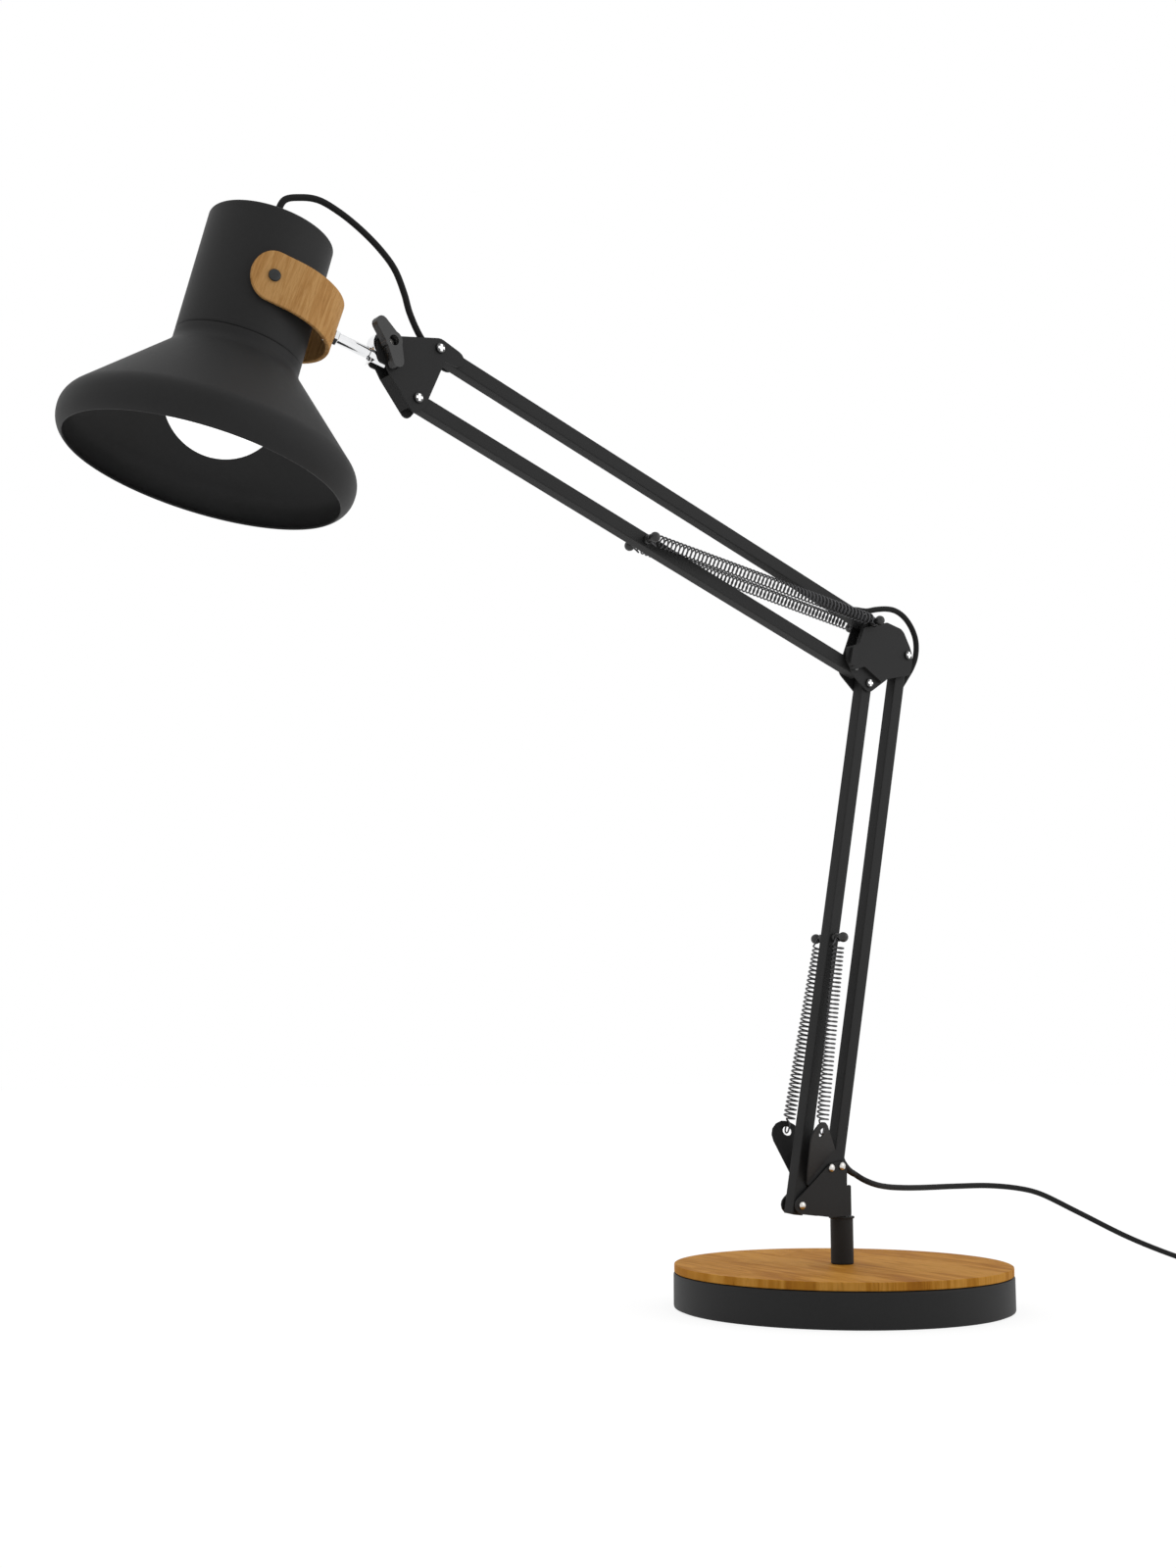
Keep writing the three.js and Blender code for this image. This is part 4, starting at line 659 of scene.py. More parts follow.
# Spring pins: moulded black posts through the tubes, each end with a collar, a groove that
# the spring's loop sits in, and a ball that keeps it on.
COLLAR = 2.6
COLLAR_LONG = 2.3
GROOVE = 1.5
BALL = 2.9
BALL_AT = 4.9
BALL_STEPS = 14
LOWER_PIN = (-5.574, 207.19)
UPPER_PIN = (-141.943, 419.212)
TUBE_SIDE = 4.0
ELBOW_SIDE = 5.35


def moulded(name, tone, roughness):
    """Moulded plastic with a fine spark-eroded texture."""
    material, nodes = named_finish(name)
    spark, flow = noises(nodes, (2200.0, 2.0), (90.0, 3.0))
    surface(nodes, {
        "Base Color": shades(nodes, flow * 0.8 + spark * 0.2, (0.3, (tone * 0.85,) * 3),
                             (0.7, (tone * 1.15,) * 3)),
        "Roughness": flow * 0.14 + (roughness - 0.07), "Normal": bumps(nodes, spark, 0.3, 0.00008)})
    return material


def spring_pin(name, at, face, body, node):
    collar_end = face + COLLAR_LONG
    start = math.asin(GROOVE / BALL)
    angles = [start + (math.pi - start) * k / BALL_STEPS for k in range(BALL_STEPS + 1)]
    ball = [(BALL * math.sin(a), collar_end + BALL_AT - BALL * math.cos(a)) for a in angles]
    ball[-1] = (0, ball[-1][1])
    stem = [(PIN, 0), (PIN, face), (COLLAR, face), (COLLAR, collar_end), (GROOVE, collar_end), ball[0]]
    half = [*eased(stem, 0.35, closed=False)[1:], *ball[1:]]
    profile = [(radius, -high) for radius, high in reversed(half)] + half
    spun(name, profile, body, "black_plastic", black_plastic, node, sharp=45, place=across(*at),
         closed=False, segments=40)


black_plastic = moulded("black_plastic", 0.014, 0.4)
spring_pin("lower_spring_post", LOWER_PIN, TUBE_SIDE, "lower_front_arm", "lower_spring_pin")
spring_pin("upper_spring_post", UPPER_PIN, TUBE_SIDE, "upper_lower_arm", "upper_spring_pin")
spring_pin("elbow_spring_post", ELBOW_UPPER, ELBOW_SIDE, "elbow", "elbow_spring_pin")

# Springs: blackened music wire wound close, each end bent into a loop round a pin's groove or
# a hook through an ear's hole, so the wire runs unbroken from loop to loop.
COIL = 3.2
WIRE = 0.5
WIRE_SIDES = 8
LOWER_PITCH = 2.53
UPPER_PITCH = 2.8
CURL_STEPS = 18
EAR_HOLE = (-27.9, 14.0, 98.1)
LOOP = 2.05
LOOP_TURNS = 0.8
LOOP_STEPS = 14
TUBE_GROOVE = 7.8
ELBOW_GROOVE = 9.15
LOOP_LEAD = 4.6
HOOK_LEAD = 6.6
# The hook's points, along the spring and out of it.
HOOK = ((-5.2, -1.6), (-3.6, -1.5), (-2.0, -1.4), (-0.4, -1.3), (0.8, -0.8), (1.3, 0.1), (1.0, 1.0),
        (0.1, 1.6), (-1.2, 1.7), (-2.4, 1.5))


def wire_tree():
    """Round wire drawn along a line of points."""
    tree, sockets = make_tree("drawn_wire", {"Radius": "NodeSocketFloat", "Sides": "NodeSocketInt",
                                             "Metal": "NodeSocketMaterial"})
    nodes = Nodes(tree)
    given = nodes.add("NodeGroupInput")
    line = nodes.add("GeometryNodeMeshToCurve", None, {0: given["Shape"]})
    section = nodes.add("GeometryNodeCurvePrimitiveCircle", None, {
        "Resolution": given["Sides"], "Radius": given["Radius"]})
    skin = nodes.add("GeometryNodeCurveToMesh", None, {0: line, 1: section, "Fill Caps": True})
    close_tree(nodes, nodes.add("GeometryNodeSetShadeSmooth", None, {0: skin}), given["Metal"])
    return tree, sockets


def softened(points):
    """The line with its kinks worked out, its ends kept."""
    return [points[0], *[(a + 2 * b + c) / 4 for a, b, c in zip(points, points[1:], points[2:])], points[-1]]


def loop_round(at, axis):
    """A loop of wire round a pin, ending on the side where the spring leaves it."""
    side = Vector((0, 1, 0)).cross(axis).normalized()
    return [at + LOOP * (axis * math.cos(a) + side * math.sin(a))
            for a in (math.pi / 2 + FULL_TURN * LOOP_TURNS * (k / LOOP_STEPS - 1)
                      for k in range(LOOP_STEPS + 1))]


def wound_wire(start_points, end_points, start, end, pitch):
    """The whole wire: the first end's loop, the curls from start to end, the other end's loop."""
    axis = (end - start).normalized()
    side = Vector((0, 1, 0)).cross(axis).normalized()
    up = axis.cross(side)
    length = (end - start).length
    steps = round(length / pitch) * CURL_STEPS
    turn = FULL_TURN / CURL_STEPS
    coil = [start + axis * (length * k / steps) + COIL * (side * math.cos(a) + up * math.sin(a))
            for k, a in ((k, turn * k) for k in range(steps + 1))]
    return softened([*start_points, *coil, *end_points])


def strung(name, points, node):
    """The spring's wire drawn along its points, baked in place and standing for the solid that it replaces.
    """
    spring = run_tree(name, points, [(i, i + 1) for i in range(len(points) - 1)], wire, wire_sockets,
                      {"Radius": MM * WIRE, "Sides": WIRE_SIDES, "Metal": blued})
    coated(settled(spring, 80), blued)
    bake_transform(spring)
    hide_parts(node)


wire, wire_sockets = wire_tree()
blued = polished_steel("blackened_wire", (0.085, 0.085, 0.088), 0.3)
for word, side in SIDES:
    pin = Vector((LOWER_PIN[0], side * TUBE_GROOVE, LOWER_PIN[1]))
    hole = Vector((EAR_HOLE[0], side * EAR_HOLE[1], EAR_HOLE[2]))
    axis = (hole - pin).normalized()
    out = (Vector((0, side, 0)) - axis * axis.y * side).normalized()
    strung(f"lower_{word}_spring",
           wound_wire(loop_round(pin, axis), [hole + axis * a + out * b for a, b in HOOK],
                      pin + axis * LOOP_LEAD, hole - axis * HOOK_LEAD, LOWER_PITCH),
           f"lower_spring_{word}")
    pin = Vector((UPPER_PIN[0], side * TUBE_GROOVE, UPPER_PIN[1]))
    post_end = Vector((ELBOW_UPPER[0], side * ELBOW_GROOVE, ELBOW_UPPER[1]))
    axis = (post_end - pin).normalized()
    strung(f"upper_{word}_spring",
           wound_wire(loop_round(pin, axis), loop_round(post_end, -axis)[::-1], pin + axis * LOOP_LEAD,
                      post_end - axis * LOOP_LEAD, UPPER_PITCH),
           f"upper_spring_{word}")

# Head bracket: one bent sheet with a front wall, and the moulded wing knob on its bolt, which
# squeezes the bracket's sides on the eye of the stem.
refined("head_bracket", "head_mount", "black_paint", black_paint, SHEET_EDGE)
refined("clamp_bolt", "head_mount", "bright_steel", bright_steel, 0.25)
refined("wing_knob", "knob", "black_plastic", black_plastic, 1.1, 5, 40)

# Stem: a polished rod from the clamp's eye to the yoke, riveted over the strip and held
# against it by a hexagon nut.
STEM_AT = (-313.6, 0, 486.8)
STEM_YAW, STEM_PITCH, STEM_ROLL = -9.6, 16.4, 2.6
STEM_LONG = 22.6
STEM_NECK = 1.9
STEM_ROD = 2.9
STEM_HEAD = 4.4
YOKE_SHEET = 2.3
STEM_OUT = STEM_LONG + YOKE_SHEET + GAP
STEM_END = STEM_OUT + 1.8
NUT = ((3.0, -2.6), (3.75, -2.6), (4.0, -2.35), (4.0, -0.5), (3.75, -0.25), (3.0, -0.25))


def about(degrees, axis):
    return Matrix.Rotation(math.radians(degrees), 4, axis)


def mirror_chrome():
    """Bright plating with the faint haze that fingers leave."""
    material, nodes = named_finish("bright_chrome")
    haze, = noises(nodes, (120.0, 4.0))
    surface(nodes, {"Base Color": shades(nodes, haze, (0.3, (0.78, 0.79, 0.8)), (0.7, (0.9, 0.9, 0.91))),
                    "Metallic": 1.0, "Roughness": haze * 0.1 + 0.06})
    return material


chrome = mirror_chrome()
stem_frame = (Matrix.Translation(STEM_AT) @ about(STEM_YAW, "Z") @ about(STEM_PITCH, "Y")
              @ about(STEM_ROLL, "X"))
down_stem = stem_frame @ about(-90, "Y")
spun("stem_rod", eased([
    (0, -5), (STEM_NECK, -5), (STEM_NECK, 0), (STEM_ROD, 4), (STEM_ROD, STEM_LONG - GAP),
    (STEM_NECK, STEM_LONG - GAP), (STEM_NECK, STEM_OUT), (STEM_HEAD, STEM_OUT), (STEM_HEAD, STEM_END),
    (0, STEM_END)], 0.4, closed=False),
    "yoke_arm", "chrome", chrome, "stem", place=down_stem, closed=False, segments=48)
refined("stem_eye", "stem_clamp", "chrome", chrome, 0.4)
spun("yoke_nut", [(radius, STEM_LONG + high) for radius, high in NUT], "yoke_arm", "chrome", chrome, sharp=20,
     place=down_stem, segments=6)

# Lock washer: a thin plated washer under the eye, with one pointed tab bent out of it that
# stands up beside the knob, its edges broken.
TAB = ((-5.6, -3.4), (-8.8, -11.2), (-3.4, -7.4))
TAB_HALF = 2.1
TAB_AT = (-308.6, 0, 492.5)
tab = piece_of("washer_tab", [(x, y, z) for y in (-TAB_HALF, TAB_HALF) for x, z in TAB],
               [(0, 1, 2), (5, 4, 3), (0, 3, 4, 1), (1, 4, 5, 2), (2, 5, 3, 0)], Matrix.Translation(TAB_AT))
breaking = tab.modifiers.new("broken_edges", "BEVEL")
breaking.width = MM * 0.3
breaking.segments = 2
fitted(settled(tab), "stem_clamp", "chrome", chrome)

# Yoke: a strip of beech plies bent hot round a former, its ends rounded, its faces lacquered
# and its edges eased with paper; two screws through the ends carry the housing.
SCREW_LINE = -65.5
LEG_IN = 32.0
LEG_WIDE = 12.5
LEG_END = 11.0
BEND = 33.6
END_STEPS = 14
BEND_STEPS = 32
YOKE_EDGE = 0.65
LEAST_WIDE = 0.02
SCREW_BORE = 2.1
STEM_BORE = 2.2
HALF_SHEET = YOKE_SHEET / 2


def strap():
    """The strip's points and faces, a rounded section at each station, and the stations as
    (x, y, the way its outer face looks, the distance along the strip)."""
    half = LEG_IN + HALF_SHEET
    bend = BEND - HALF_SHEET
    turn_x, turn_y = -STEM_LONG - HALF_SHEET - bend, bend - half
    out = Vector((0, -1))
    line = []
    for k in range(END_STEPS + 1):
        reach = LEG_END * math.cos(math.radians(90 * k / END_STEPS))
        line.append((SCREW_LINE - reach, -half, out, reach))
    line += [(SCREW_LINE + (turn_x - SCREW_LINE) * k / 3, -half, out, 0) for k in range(1, 4)]
    for k in range(1, BEND_STEPS + 1):
        a = math.radians(-90 + 90 * k / BEND_STEPS)
        way = Vector((math.cos(a), math.sin(a)))
        line.append((turn_x + bend * way.x, turn_y + bend * way.y, way, 0))
    line += [(x, -y, Vector((way.x, -way.y)), reach) for x, y, way, reach in reversed(line)]
    points, rings, far = [], [], [0.0]
    for i, (x, y, way, reach) in enumerate(line):
        if i:
            far.append(far[-1] + math.hypot(x - line[i - 1][0], y - line[i - 1][1]))
        wide = LEG_WIDE * math.sqrt(max(0.0, 1 - (reach / LEG_END) ** 2)) + LEAST_WIDE
        edge = min(YOKE_EDGE, 0.5 * wide)
        rings.append(range(len(points), len(points) + 20))
        for sx, sz, first in ((1, 1, 0), (-1, 1, 90), (-1, -1, 180), (1, -1, 270)):
            for k in range(5):
                a = math.radians(first + 90 * k / 4)
                off = sx * (HALF_SHEET - edge) + edge * math.cos(a)
                points.append((x + off * way.x, y + off * way.y,
                               sz * (wide - edge) + edge * math.sin(a)))
    return points, tube_faces(rings), [(x, y, way, run) for (x, y, way, reach), run in zip(line, far)]


def tube_faces(rings):
    """The faces that join equal rings of points, and those that close the two ends."""
    faces = [tuple(reversed(rings[0])), tuple(rings[-1])]
    for low, high in zip(rings, rings[1:]):
        count = len(low)
        faces += [(low[k], low[(k + 1) % count], high[(k + 1) % count], high[k]) for k in range(count)]
    return faces


strip_points, strip_faces, stations = strap()
yoke = piece_of("bent_yoke", strip_points, strip_faces, stem_frame)
across_strip = stem_frame @ Matrix.Translation((SCREW_LINE, 0, 0)) @ about(90, "X")
drills = [turned("drill", [(0, low), (radius, low), (radius, high), (0, high)], place, False, 32)
          for radius, low, high, place in ((SCREW_BORE, -60, 60, across_strip),
                                           (STEM_BORE, STEM_LONG - 3, STEM_LONG + 6, down_stem))]
for drill in drills:
    boring = yoke.modifiers.new("bored", "BOOLEAN")
    boring.operation = "DIFFERENCE"
    boring.solver = "EXACT"
    boring.object = drill
settled(yoke)
for drill in drills:
    bpy.data.objects.remove(drill)
# The grain follows the strip round its bend: each point is laid out flat again.
flat_ways = []
for vertex in yoke.data.vertices:
    spot = stem_frame.inverted() @ (vertex.co / MM)
    x, y, way, run = min(stations, key=lambda here: (spot.x - here[0]) ** 2 + (spot.y - here[1]) ** 2)
    off = Vector((spot.x - x, spot.y - y))
    flat_ways += [MM * (run + off.x * -way.y + off.y * way.x), MM * spot.z, MM * off.dot(way)]
yoke.data.attributes.new("grain", "FLOAT_VECTOR", "POINT").data.foreach_set("vector", flat_ways)
yoke_wood = hardwood("lacquered_beech", (260.0, 26.0, 26.0), 0.0, (0.38, 0.185, 0.06),
                     (0.49, 0.255, 0.088), (0.59, 0.335, 0.13), 0.55, "grain")
fitted(yoke, "yoke_arm", "bent_wood", yoke_wood, "yoke")

# Housing and shade: two spun steel shells, painted satin black outside and inside. The
# shade's collar slips up inside the housing, which leaves a fine dark line between them.
HOUSING = 31.2
HOUSING_TOP = 35.3
HOUSING_FOOT = -28.5
HOUSING_WALL = 1.2
HOUSING_IN = HOUSING - HOUSING_WALL
SHADE_WALL = 1.0
SHADE_TOP = HOUSING_FOOT - GAP
SHADE_NECK = (34.4, SHADE_TOP - 9.5)
SHADE_CONE = (69.0, SHADE_TOP - 45.0)
SHADE_WIDEST = (72.8, SHADE_TOP - 54.0)
SHADE_RIM = (68.2, SHADE_TOP - 64.0)
COLLAR_IN = 28.7
COLLAR_OUT = 29.7
COLLAR_TOP = SHADE_TOP + 6.0
HEAD_NOD = -3.06


def bent(start, control, end, steps):
    return [tuple(Vector(start) * (1 - t) ** 2 + Vector(control) * 2 * t * (1 - t) + Vector(end) * t * t)
            for t in ((k + 1) / steps for k in range(steps))]


def shade_profile():
    """Neck, cone, shoulder and rim outside, then the same line one wall inside it."""
    neck, cone, widest = SHADE_NECK, SHADE_CONE, SHADE_WIDEST
    slope = (cone[0] - neck[0]) / (neck[1] - cone[1])
    outer = [(HOUSING, SHADE_TOP), (HOUSING, SHADE_TOP - 3.0)]
    outer += bent(outer[1], (HOUSING, neck[1] + (neck[0] - HOUSING) / slope), neck, 8)
    outer += [((neck[0] * (4 - k) + cone[0] * k) / 4, (neck[1] * (4 - k) + cone[1] * k) / 4)
              for k in range(1, 5)]
    outer += bent(cone, (widest[0], cone[1] - (widest[0] - cone[0]) / slope), widest, 10)
    outer += bent(widest, (widest[0], (widest[1] + 2 * SHADE_RIM[1]) / 3), SHADE_RIM, 8)
    inner = []
    for i, (radius, high) in enumerate(outer):
        before, after = outer[max(i - 1, 0)], outer[min(i + 1, len(outer) - 1)]
        dx, dy = after[0] - before[0], after[1] - before[1]
        size = math.hypot(dx, dy)
        inner.append((radius + dy / size * SHADE_WALL, high - dx / size * SHADE_WALL))
    lip = Vector(outer[-1]) * 0.5 + Vector(inner[-1]) * 0.5 + Vector((-0.22, -0.3))
    return [*outer, tuple(lip), *reversed(inner[2:]), (COLLAR_IN, inner[1][1]), (COLLAR_IN, COLLAR_TOP),
            (COLLAR_OUT, COLLAR_TOP), (COLLAR_OUT, SHADE_TOP)]


head_frame = stem_frame @ Matrix.Translation((SCREW_LINE, 0, 0)) @ about(HEAD_NOD, "Y")
spun("spun_housing", eased([
    (BORE, HOUSING_TOP - HOUSING_WALL), (HOUSING_IN - 1.6, HOUSING_TOP - HOUSING_WALL),
    (HOUSING_IN, HOUSING_TOP - 2.8), (HOUSING_IN, HOUSING_FOOT), (HOUSING, HOUSING_FOOT + 0.01),
    (HOUSING, HOUSING_TOP), (BORE, HOUSING_TOP)], 1.6, steps=7),
    "head", "black_paint", black_paint, "housing", place=head_frame, segments=160)
spun("spun_shade", shade_profile(), "head", "black_paint", black_paint, "shade", sharp=42, place=head_frame,
     segments=FINE_ROUND)

# Yoke screws: blackened steel with pan heads and a cross recess, through the strip's two legs
# into the housing, which nods on them.
SCREW = ((0, 27), (1.8, 27), (1.8, 34.6), (3, 34.6), (3, 35.3), (2.2, 35.8), (0, 35.8))
SCREW_CROWN = 35.72
# The cross recess is drawn as a near-black cross on each crown: painted shade where the real recess is dark.
recess_shade_finish = moulded("recess_painted_shade", 0.004, 0.6)
black_steel = polished_steel("blackened_screw", (0.045, 0.047, 0.047), 0.34)
screw_spots, screw_ways = [], []
for word, side in SIDES:
    place = head_frame @ about(side * -90, "X")
    spun(f"yoke_{word}_screw", eased(SCREW, 0.3, closed=False), "head", "black_steel", black_steel,
         f"yoke_screw_{word}", sharp=50, place=place, closed=False, segments=40)
    screw_spots.append(place @ Vector((0, 0, SCREW_CROWN)))
    screw_ways.append(tuple(place.to_3x3() @ Vector((0, 0, 1))))
# Near-black crosses on the screw crowns stand for the recesses: painted shade.
recess = run_tree("screw_recesses", screw_spots, [], cross, cross_sockets,
                  {"Span": MM * 2.8, "Width": MM * 0.6, "Depth": MM * 0.2, "Metal": recess_shade_finish}, screw_ways)
fitted(settled(recess, 30), "head", "black_steel", recess_shade_finish)

# Lampholder and gland: moulded black plastic, the holder's threaded neck up through the
# housing and the gland screwed down on it round the cord.
HOLDER = ((2, 29.8), (2, 38.3), (5, 38.3), (5, 33.8), (18, 33.8), (18, -0.2), (13.9, -0.2), (13.9, 29.8))
GLAND = ((5.3, 35.6), (7, 35.6), (7, 38.6), (4.2, 43.1), (2, 43.1), (2, 38.9), (5.3, 38.9))
for name, profile, edge, segments, node in (("lamp_socket", HOLDER, 0.5, 80, "lampholder"),
                                            ("gland_nut", GLAND, 0.35, 48, "cord_gland")):
    spun(name, eased(profile, edge), "head", "black_plastic", black_plastic, node, place=head_frame,
         segments=segments)

# Lamp: an opal glass globe on a short neck, evenly white while it is lit, with its screw cap
# up in the holder.
GLOBE = 28.9
GLOBE_AT = -53.8
GLOBE_FROM = math.radians(52)
GLOBE_STEPS = 28
CAP = 13.2
CAP_END = -1.5
BULB_NECK = 15.5
NECK_STEPS = 12


def opal():
    """Opal glass that glows as evenly as its coating is thick."""
    material, nodes = named_finish("opal_glass")
    coat, = noises(nodes, (90.0, 2.0))
    colour = shades(nodes, coat, (0.2, (0.94, 0.94, 0.93)), (0.8, (1, 1, 1)))
    surface(nodes, {"Base Color": colour, "Roughness": coat * 0.06 + 0.2, "Emission Color": colour,
                    "Emission Strength": 0.85})
    return material


neck_end = Vector((GLOBE * math.sin(GLOBE_FROM), GLOBE_AT + GLOBE * math.cos(GLOBE_FROM)))
neck_bend = (Vector((CAP, CAP_END)), Vector((BULB_NECK, (neck_end.y + CAP_END) / 2)),
             Vector((BULB_NECK, neck_end.y + neck_end.x - BULB_NECK)), neck_end)
bulb_profile = [(0, 29.5), (6.6, 29.5), (CAP, 26.2), (CAP, CAP_END)]
for k in range(1, NECK_STEPS):
    t = k / NECK_STEPS
    weights = ((1 - t) ** 3, 3 * t * (1 - t) ** 2, 3 * t * t * (1 - t), t ** 3)
    bulb_profile.append(tuple(sum((c * w for c, w in zip(neck_bend, weights)), Vector((0, 0)))))
for k in range(GLOBE_STEPS + 1):
    angle = GLOBE_FROM + (math.pi - GLOBE_FROM) * k / GLOBE_STEPS
    bulb_profile.append((GLOBE * math.sin(angle), GLOBE_AT + GLOBE * math.cos(angle)))
spun("opal_lamp", bulb_profile, "head", "bulb_glass", opal(), "lamp_bulb", sharp=60, place=head_frame,
     closed=False, segments=112)

# Lamp cord in the arms: round black two-core flex from the gland over the head joint into the
# top tube, out of it over the elbow, and down the lower tube.
CORD = 1.7
CORD_SIDES = 16
ARM_UP = Vector((math.sin(math.radians(11.55)), 0, math.cos(math.radians(11.55))))
ARM_OUT = Vector((-math.cos(math.radians(18.29)), 0, math.sin(math.radians(18.29))))
HEAD_STEPS = ((-84.5, 6.6, 60.6), (-76, 6.2, 64.3), (-66, 5.7, 65.6), (-54.7, 5, 62.3),
              (-41.9, 4.1, 55.6), (-30.4, 3.2, 47.1), (-22.9, 2.6, 39), (-17.6, 1.8, 27.3),
              (-14.8, 1.2, 18), (-11, 0.6, 9.9), (-8.1, 0.3, 5.4), (-5.6, 0.1, 2.6))
HEAD_CUTS = (0, 0.22, 0.5, 0.78, 1)
MOUTH = 316.9
SLOT = 17.0
SLOT_START = 2.1
LOWER_TOP = 295.6
UPPER_MIDDLE = 160.95
LOWER_MIDDLE = 153.5
IN_GLAND = (39.2, 44.3)
UPPER_SLOT = ((1, 0.2), (0.86, 1.3), (0.66, 4.2))
LOWER_SLOT = ((0.72, 1.7), (1, 0.2), (1.1, 0))
ELBOW_STEPS = ((-26.8, 24.9), (-18.3, 27.1), (-9.2, 28.7), (-2.2, 28.6), (4.8, 26.1), (10.8, 21),
               (14.7, 14.2), (15.5, 7.7), (14.2, 0.9), (10.4, -6.1), (6.2, -11.5))
ELBOW_CUT = 0.46
SLEEVE_STEPS = ((4.1, 0, 12.4), (4.2, 0, 8.8), (4.7, 0, 5.7), (6.2, 0, 2.4), (8.8, 0.2, -0.5),
                (11.4, 0.6, -2.4), (14.2, 1.2, -3.9), (18.23, 1.87, -5.5))


def smooth_line(points, step=1.5):
    """An even run of points on one smooth curve through the given ones."""
    points = [Vector(p) for p in points]
    points = [2 * points[0] - points[1], *points, 2 * points[-1] - points[-2]]
    fine = []
    for a, b, c, d in zip(points, points[1:], points[2:], points[3:]):
        ta, tb, tc = ((q - p).length ** 0.5 for p, q in ((a, b), (b, c), (c, d)))
        leave = ((b - a) / ta - (c - a) / (ta + tb) + (c - b) / tb) * tb
        reach = ((c - b) / tb - (d - b) / (tb + tc) + (d - c) / tc) * tb
        for k in range(24):
            t = k / 24
            fine.append(b * (2 * t ** 3 - 3 * t * t + 1) + leave * (t ** 3 - 2 * t * t + t)
                        + c * (3 * t * t - 2 * t ** 3) + reach * (t ** 3 - t * t))
    fine.append(points[-2])
    far = [0.0]
    for p, q in zip(fine, fine[1:]):
        far.append(far[-1] + (q - p).length)
    count = max(2, round(far[-1] / step))
    even, i = [], 0
    for k in range(count + 1):
        want = far[-1] * k / count
        while i < len(far) - 2 and far[i + 1] < want:
            i += 1
        share = (want - far[i]) / max(far[i + 1] - far[i], 1e-9)
        even.append(fine[i].lerp(fine[i + 1], min(1.0, share)))
    return even


def flex(name, line, radii=None, sides=CORD_SIDES):
    """A round tube along a line, its ends closed; radii may change along it."""
    radii = radii or [CORD] * len(line)
    ways = [(line[min(i + 1, len(line) - 1)] - line[max(i - 1, 0)]).normalized() for i in range(len(line))]
    normal = ways[0].orthogonal().normalized()
    points, rings = [], []
    for spot, way, radius in zip(line, ways, radii):
        normal = (normal - way * normal.dot(way)).normalized()
        side = way.cross(normal)
        rings.append(range(len(points), len(points) + sides))
        points += [spot + radius * (normal * math.cos(a) + side * math.sin(a))
                   for a in (FULL_TURN * k / sides for k in range(sides))]
    return settled(piece_of(name, points, tube_faces(rings)), 60)


def tube_point(pivot, way, distance, drop=0.0):
    """A point in a tube, measured along it from its pivot and down from its axis."""
    return Vector((pivot[0], 0, pivot[1])) + way * distance - Vector((-way.z, 0, way.x)) * drop


def line_long(line):
    return sum((q - p).length for p, q in zip(line, line[1:]))


def bending(name, line, first, second, *nodes):
    """A stretch of cord along the line, baked in place and standing for the solids it replaces; first and
    second, the bodies at its two ends, are not used.
    """
    piece = coated(flex(name, line), cord_rubber)
    MM * line[0]
    MM * line[-1]
    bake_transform(piece)
    tuple(MM * line[0])
    MM * line_long(line)
    [tuple(MM * p) for p in line]
    if nodes:
        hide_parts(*nodes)


cord_rubber = rubber("cord_sheath", 0.012, 0.72, 1500.0)
head_line = smooth_line([
    *[head_frame @ Vector((0, 0, high)) for high in IN_GLAND],
    *[Vector((HEAD_UPPER[0] + x, y, HEAD_UPPER[1] + z)) for x, y, z in HEAD_STEPS],
    tube_point(ELBOW_UPPER, ARM_OUT, MOUTH - CORD, -0.21), tube_point(ELBOW_UPPER, ARM_OUT, MOUTH)], 1.2)
cuts = [round(share * (len(head_line) - 1)) for share in HEAD_CUTS]
for i, (name, first, second, *nodes) in enumerate((
        ("head_cord_top", "head", "yoke_arm"), ("head_cord_arch", "yoke_arm", "stem_clamp"),
        ("head_cord_fall", "stem_clamp", "head_mount"),
        ("head_cord_end", "head_mount", "upper_top_arm", "head_cord"))):
    bending(name, head_line[cuts[i]:cuts[i + 1] + 1], first, second, *nodes)

elbow_line = smooth_line([
    tube_point(ELBOW_UPPER, ARM_OUT, SLOT_START + SLOT),
    *[tube_point(ELBOW_UPPER, ARM_OUT, share * SLOT, drop) for share, drop in UPPER_SLOT],
    *[Vector((ELBOW_BACK[0] + x, 0, ELBOW_BACK[1] + z)) for x, z in ELBOW_STEPS],
    *[tube_point(LOWER_BACK, ARM_UP, LOWER_TOP - share * SLOT, drop) for share, drop in LOWER_SLOT]], 1.2)
half_way = round(ELBOW_CUT * (len(elbow_line) - 1))
bending("elbow_cord_top", elbow_line[:half_way + 1], "upper_top_arm", "elbow")
bending("elbow_cord_back", elbow_line[half_way:], "elbow", "lower_back_arm", "elbow_cord")

sleeve_points = [Vector((LOWER_BACK[0] + x, y, LOWER_BACK[1] + z)) for x, y, z in SLEEVE_STEPS]
sleeve_back = (sleeve_points[0] - sleeve_points[1]).normalized()
upper_run = smooth_line([tube_point(ELBOW_UPPER, ARM_OUT, d)
                         for d in (MOUTH - GAP, UPPER_MIDDLE, SLOT_START + 2 * SLOT,
                                   SLOT_START + SLOT + GAP)], 8)
fitted(flex("upper_tube_cord", upper_run), "upper_top_arm", "black_rubber", cord_rubber, "upper_cord_run")
lower_run = smooth_line([*[tube_point(LOWER_BACK, ARM_UP, d)
                           for d in (LOWER_TOP - 1.1 * SLOT - GAP, LOWER_MIDDLE, 2 * SLOT, 1.3 * SLOT)],
                         sleeve_points[0] + sleeve_back * 2 * CORD, sleeve_points[0] + sleeve_back * GAP], 4)
fitted(flex("lower_tube_cord", lower_run), "lower_back_arm", "black_rubber", cord_rubber, "lower_cord_run")

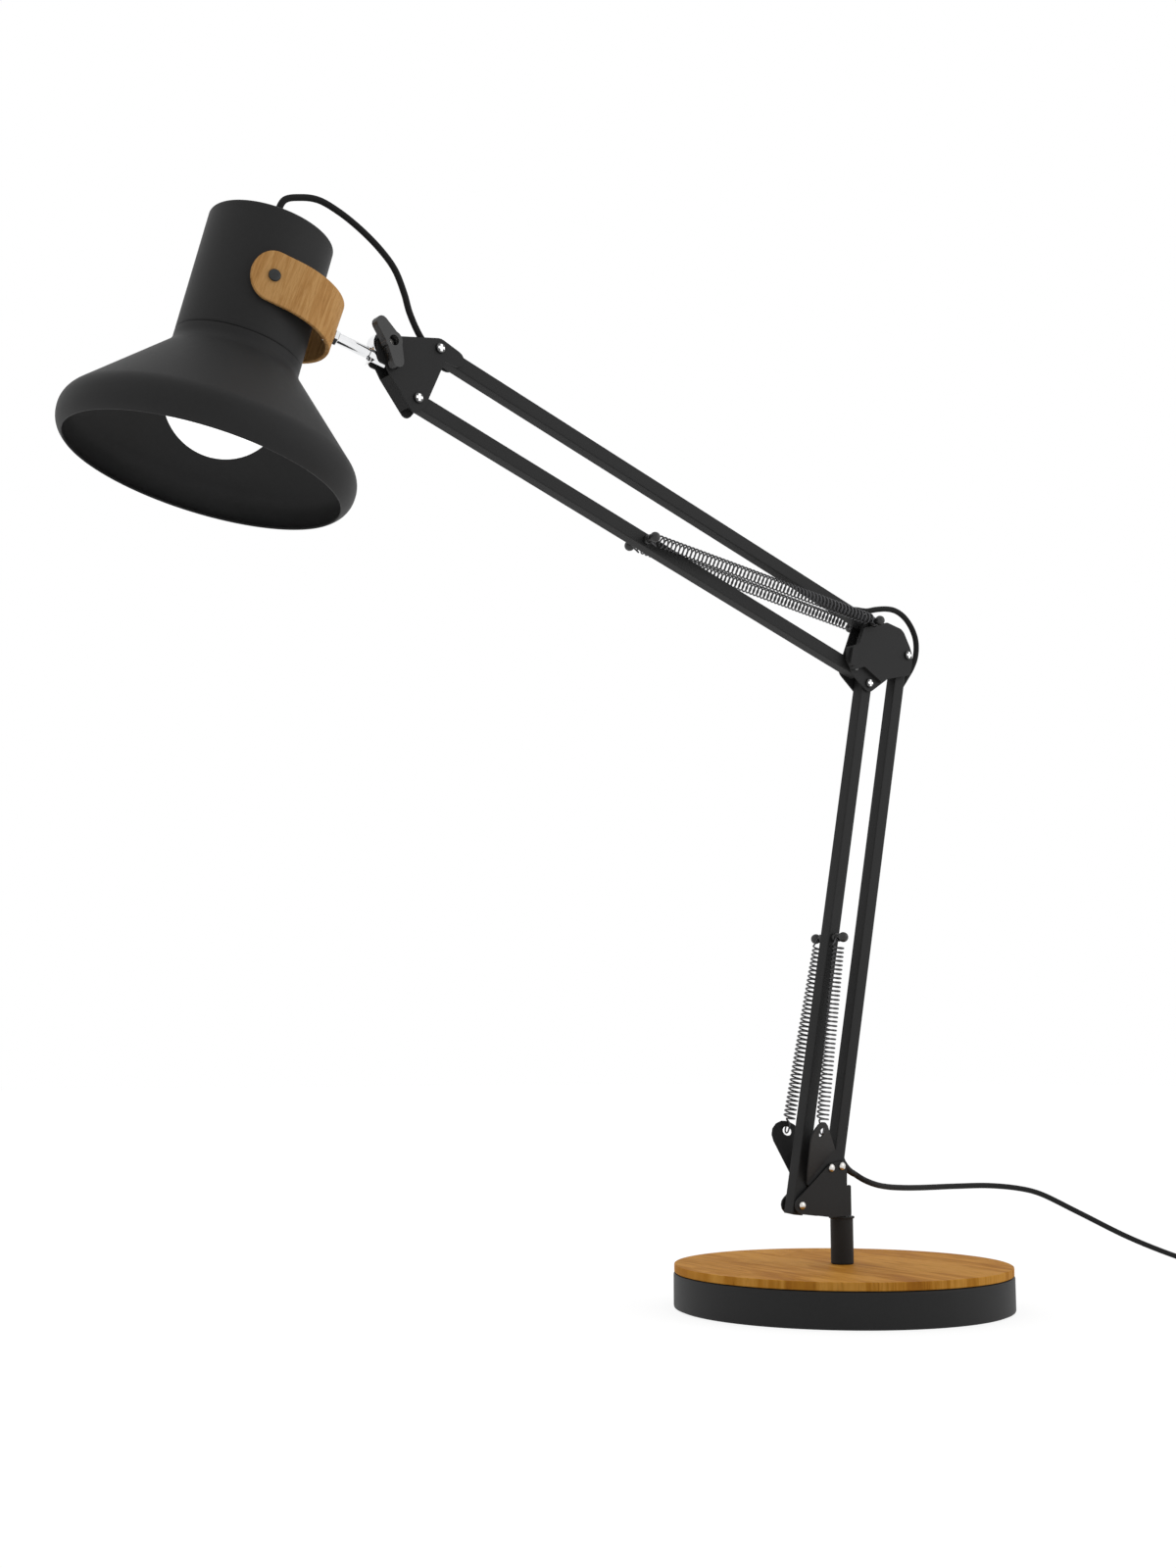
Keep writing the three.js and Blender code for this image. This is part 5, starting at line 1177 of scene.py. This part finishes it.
# Strain relief: a soft moulded sleeve that tapers from the tube's slot on to the cord, with a
# ring of shallow grooves so that it bends.
SLEEVE = 2.1
SLEEVE_TAPER = 0.32
SLEEVE_GROOVE = 0.12
SLEEVE_PLAIN = 6
sleeve_line = smooth_line(sleeve_points, 0.8)
taper = [SLEEVE - SLEEVE_TAPER * (k / (len(sleeve_line) - 1)) ** 1.4
         - (SLEEVE_GROOVE if k % 4 == 2 and k > SLEEVE_PLAIN else 0) for k in range(len(sleeve_line))]
sleeve = coated(flex("cord_relief", sleeve_line, taper, 20), black_rubber)
MM * sleeve_line[0]
MM * sleeve_line[-1]
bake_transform(sleeve)
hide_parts("cord_sleeve")

# Plug and tie: a flat moulded two-pin plug with its boot and nickel-plated pins, and the
# plastic tie round the coil.
plated = polished_steel("nickel_plate", (0.76, 0.73, 0.64), 0.22)
plug = refined("plug_body", "base", "black_rubber", black_rubber, 1.6, 4, 40)
plug_pins = [refined(f"plug_pin_{word}", "base", "plug_brass", plated, 0.7, 4, 40) for word, side in SIDES]
tie = refined("cord_tie", "base", "black_plastic", black_plastic, 0.25, 2, 40)

# Mains cord: 1.7 m of round two-core flex. It leaves the bracket's sleeve, sags to the table on
# the side away from the head, and ends in a tied coil in four layers with the plug beside it.
FREE_ROUTE = ((13.4, 1.9, 73.1), (19.7, 2.7, 70.3), (32, 5.6, 66.9), (48.2, 11.3, 64.5), (68, 17.4, 62.9),
              (89.2, 23, 61.9), (126.8, 29.8, 61), (160.5, 32, 60), (186.1, 30.3, 57.4), (202.2, 28.2, 53.9),
              (233, 22.5, 41), (269.2, 12.8, 24.4), (300, 4.2, 12.6), (322, -1.6, 5.8), (342, -6.6, 2.7),
              (356, -10.1, 2.1), (370, -13.5, 2.05))
COIL_RADIUS = 24.6
COIL_PITCH = 3.9
COIL_TURNS = (2.5, 2.5, 2.5, 2)
COIL_RISE = 0.25
COIL_STEPS = 60
TAIL = 52.0
TAIL_DROP = 0.3
TAIL_STEPS = 24
PLUG_HIGH = 6.5
IN_PLUG = 14.0


def coiled():
    """The coil's centre line: layers that spiral in and out again, then the tail to the plug."""
    before, last = (Vector(p) for p in FREE_ROUTE[-2:])
    heading = last - before
    heading.z = 0
    heading.normalize()
    centre = Vector((heading.y, -heading.x, 0)) * COIL_RADIUS + last + heading * GAP
    angle = math.atan2(heading.x, -heading.y)
    radius, inward, step = COIL_RADIUS, -1, FULL_TURN / COIL_STEPS
    line = []

    def put(high):
        line.append(Vector((centre.x + radius * math.cos(angle), centre.y + radius * math.sin(angle), high)))

    put(last.z)
    for layer, turns in enumerate(COIL_TURNS):
        high = last.z + layer * COIL_PITCH
        for _ in range(round(turns * COIL_STEPS)):
            angle -= step
            radius += inward * COIL_PITCH / COIL_STEPS
            put(high)
        if layer + 1 < len(COIL_TURNS):
            rise = round(COIL_RISE * COIL_STEPS)
            for i in range(1, rise + 1):
                angle -= step
                radius += (inward if i <= rise / 2 else -inward) * COIL_PITCH / COIL_STEPS
                put(high + COIL_PITCH * i / rise)
            inward = -inward
    end = line[-1].copy()
    away = Vector((math.sin(angle), -math.cos(angle), 0))
    for i in range(1, TAIL_STEPS + 1):
        share = i / TAIL_STEPS
        drop = max(0.0, (share - TAIL_DROP) / (1 - TAIL_DROP))
        spot = end + away * TAIL * share
        spot.z = end.z + (PLUG_HIGH - end.z) * drop * drop * (3 - 2 * drop)
        line.append(spot)
    inside = (line[-1] - line[-2]).normalized()
    return line + [line[-1] + inside * IN_PLUG * k / 6 for k in range(1, 7)]


mains_line = smooth_line(FREE_ROUTE, 2.5) + coiled()
mains = coated(flex("mains_flex", softened(mains_line), sides=12), cord_rubber)
MM * mains_line[0]
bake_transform(mains)
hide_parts("mains_cord", "cord_coil")
tuple(MM * mains_line[0])
MM * line_long(mains_line)
[tuple(MM * p) for p in mains_line]

bpy.context.view_layer.update()
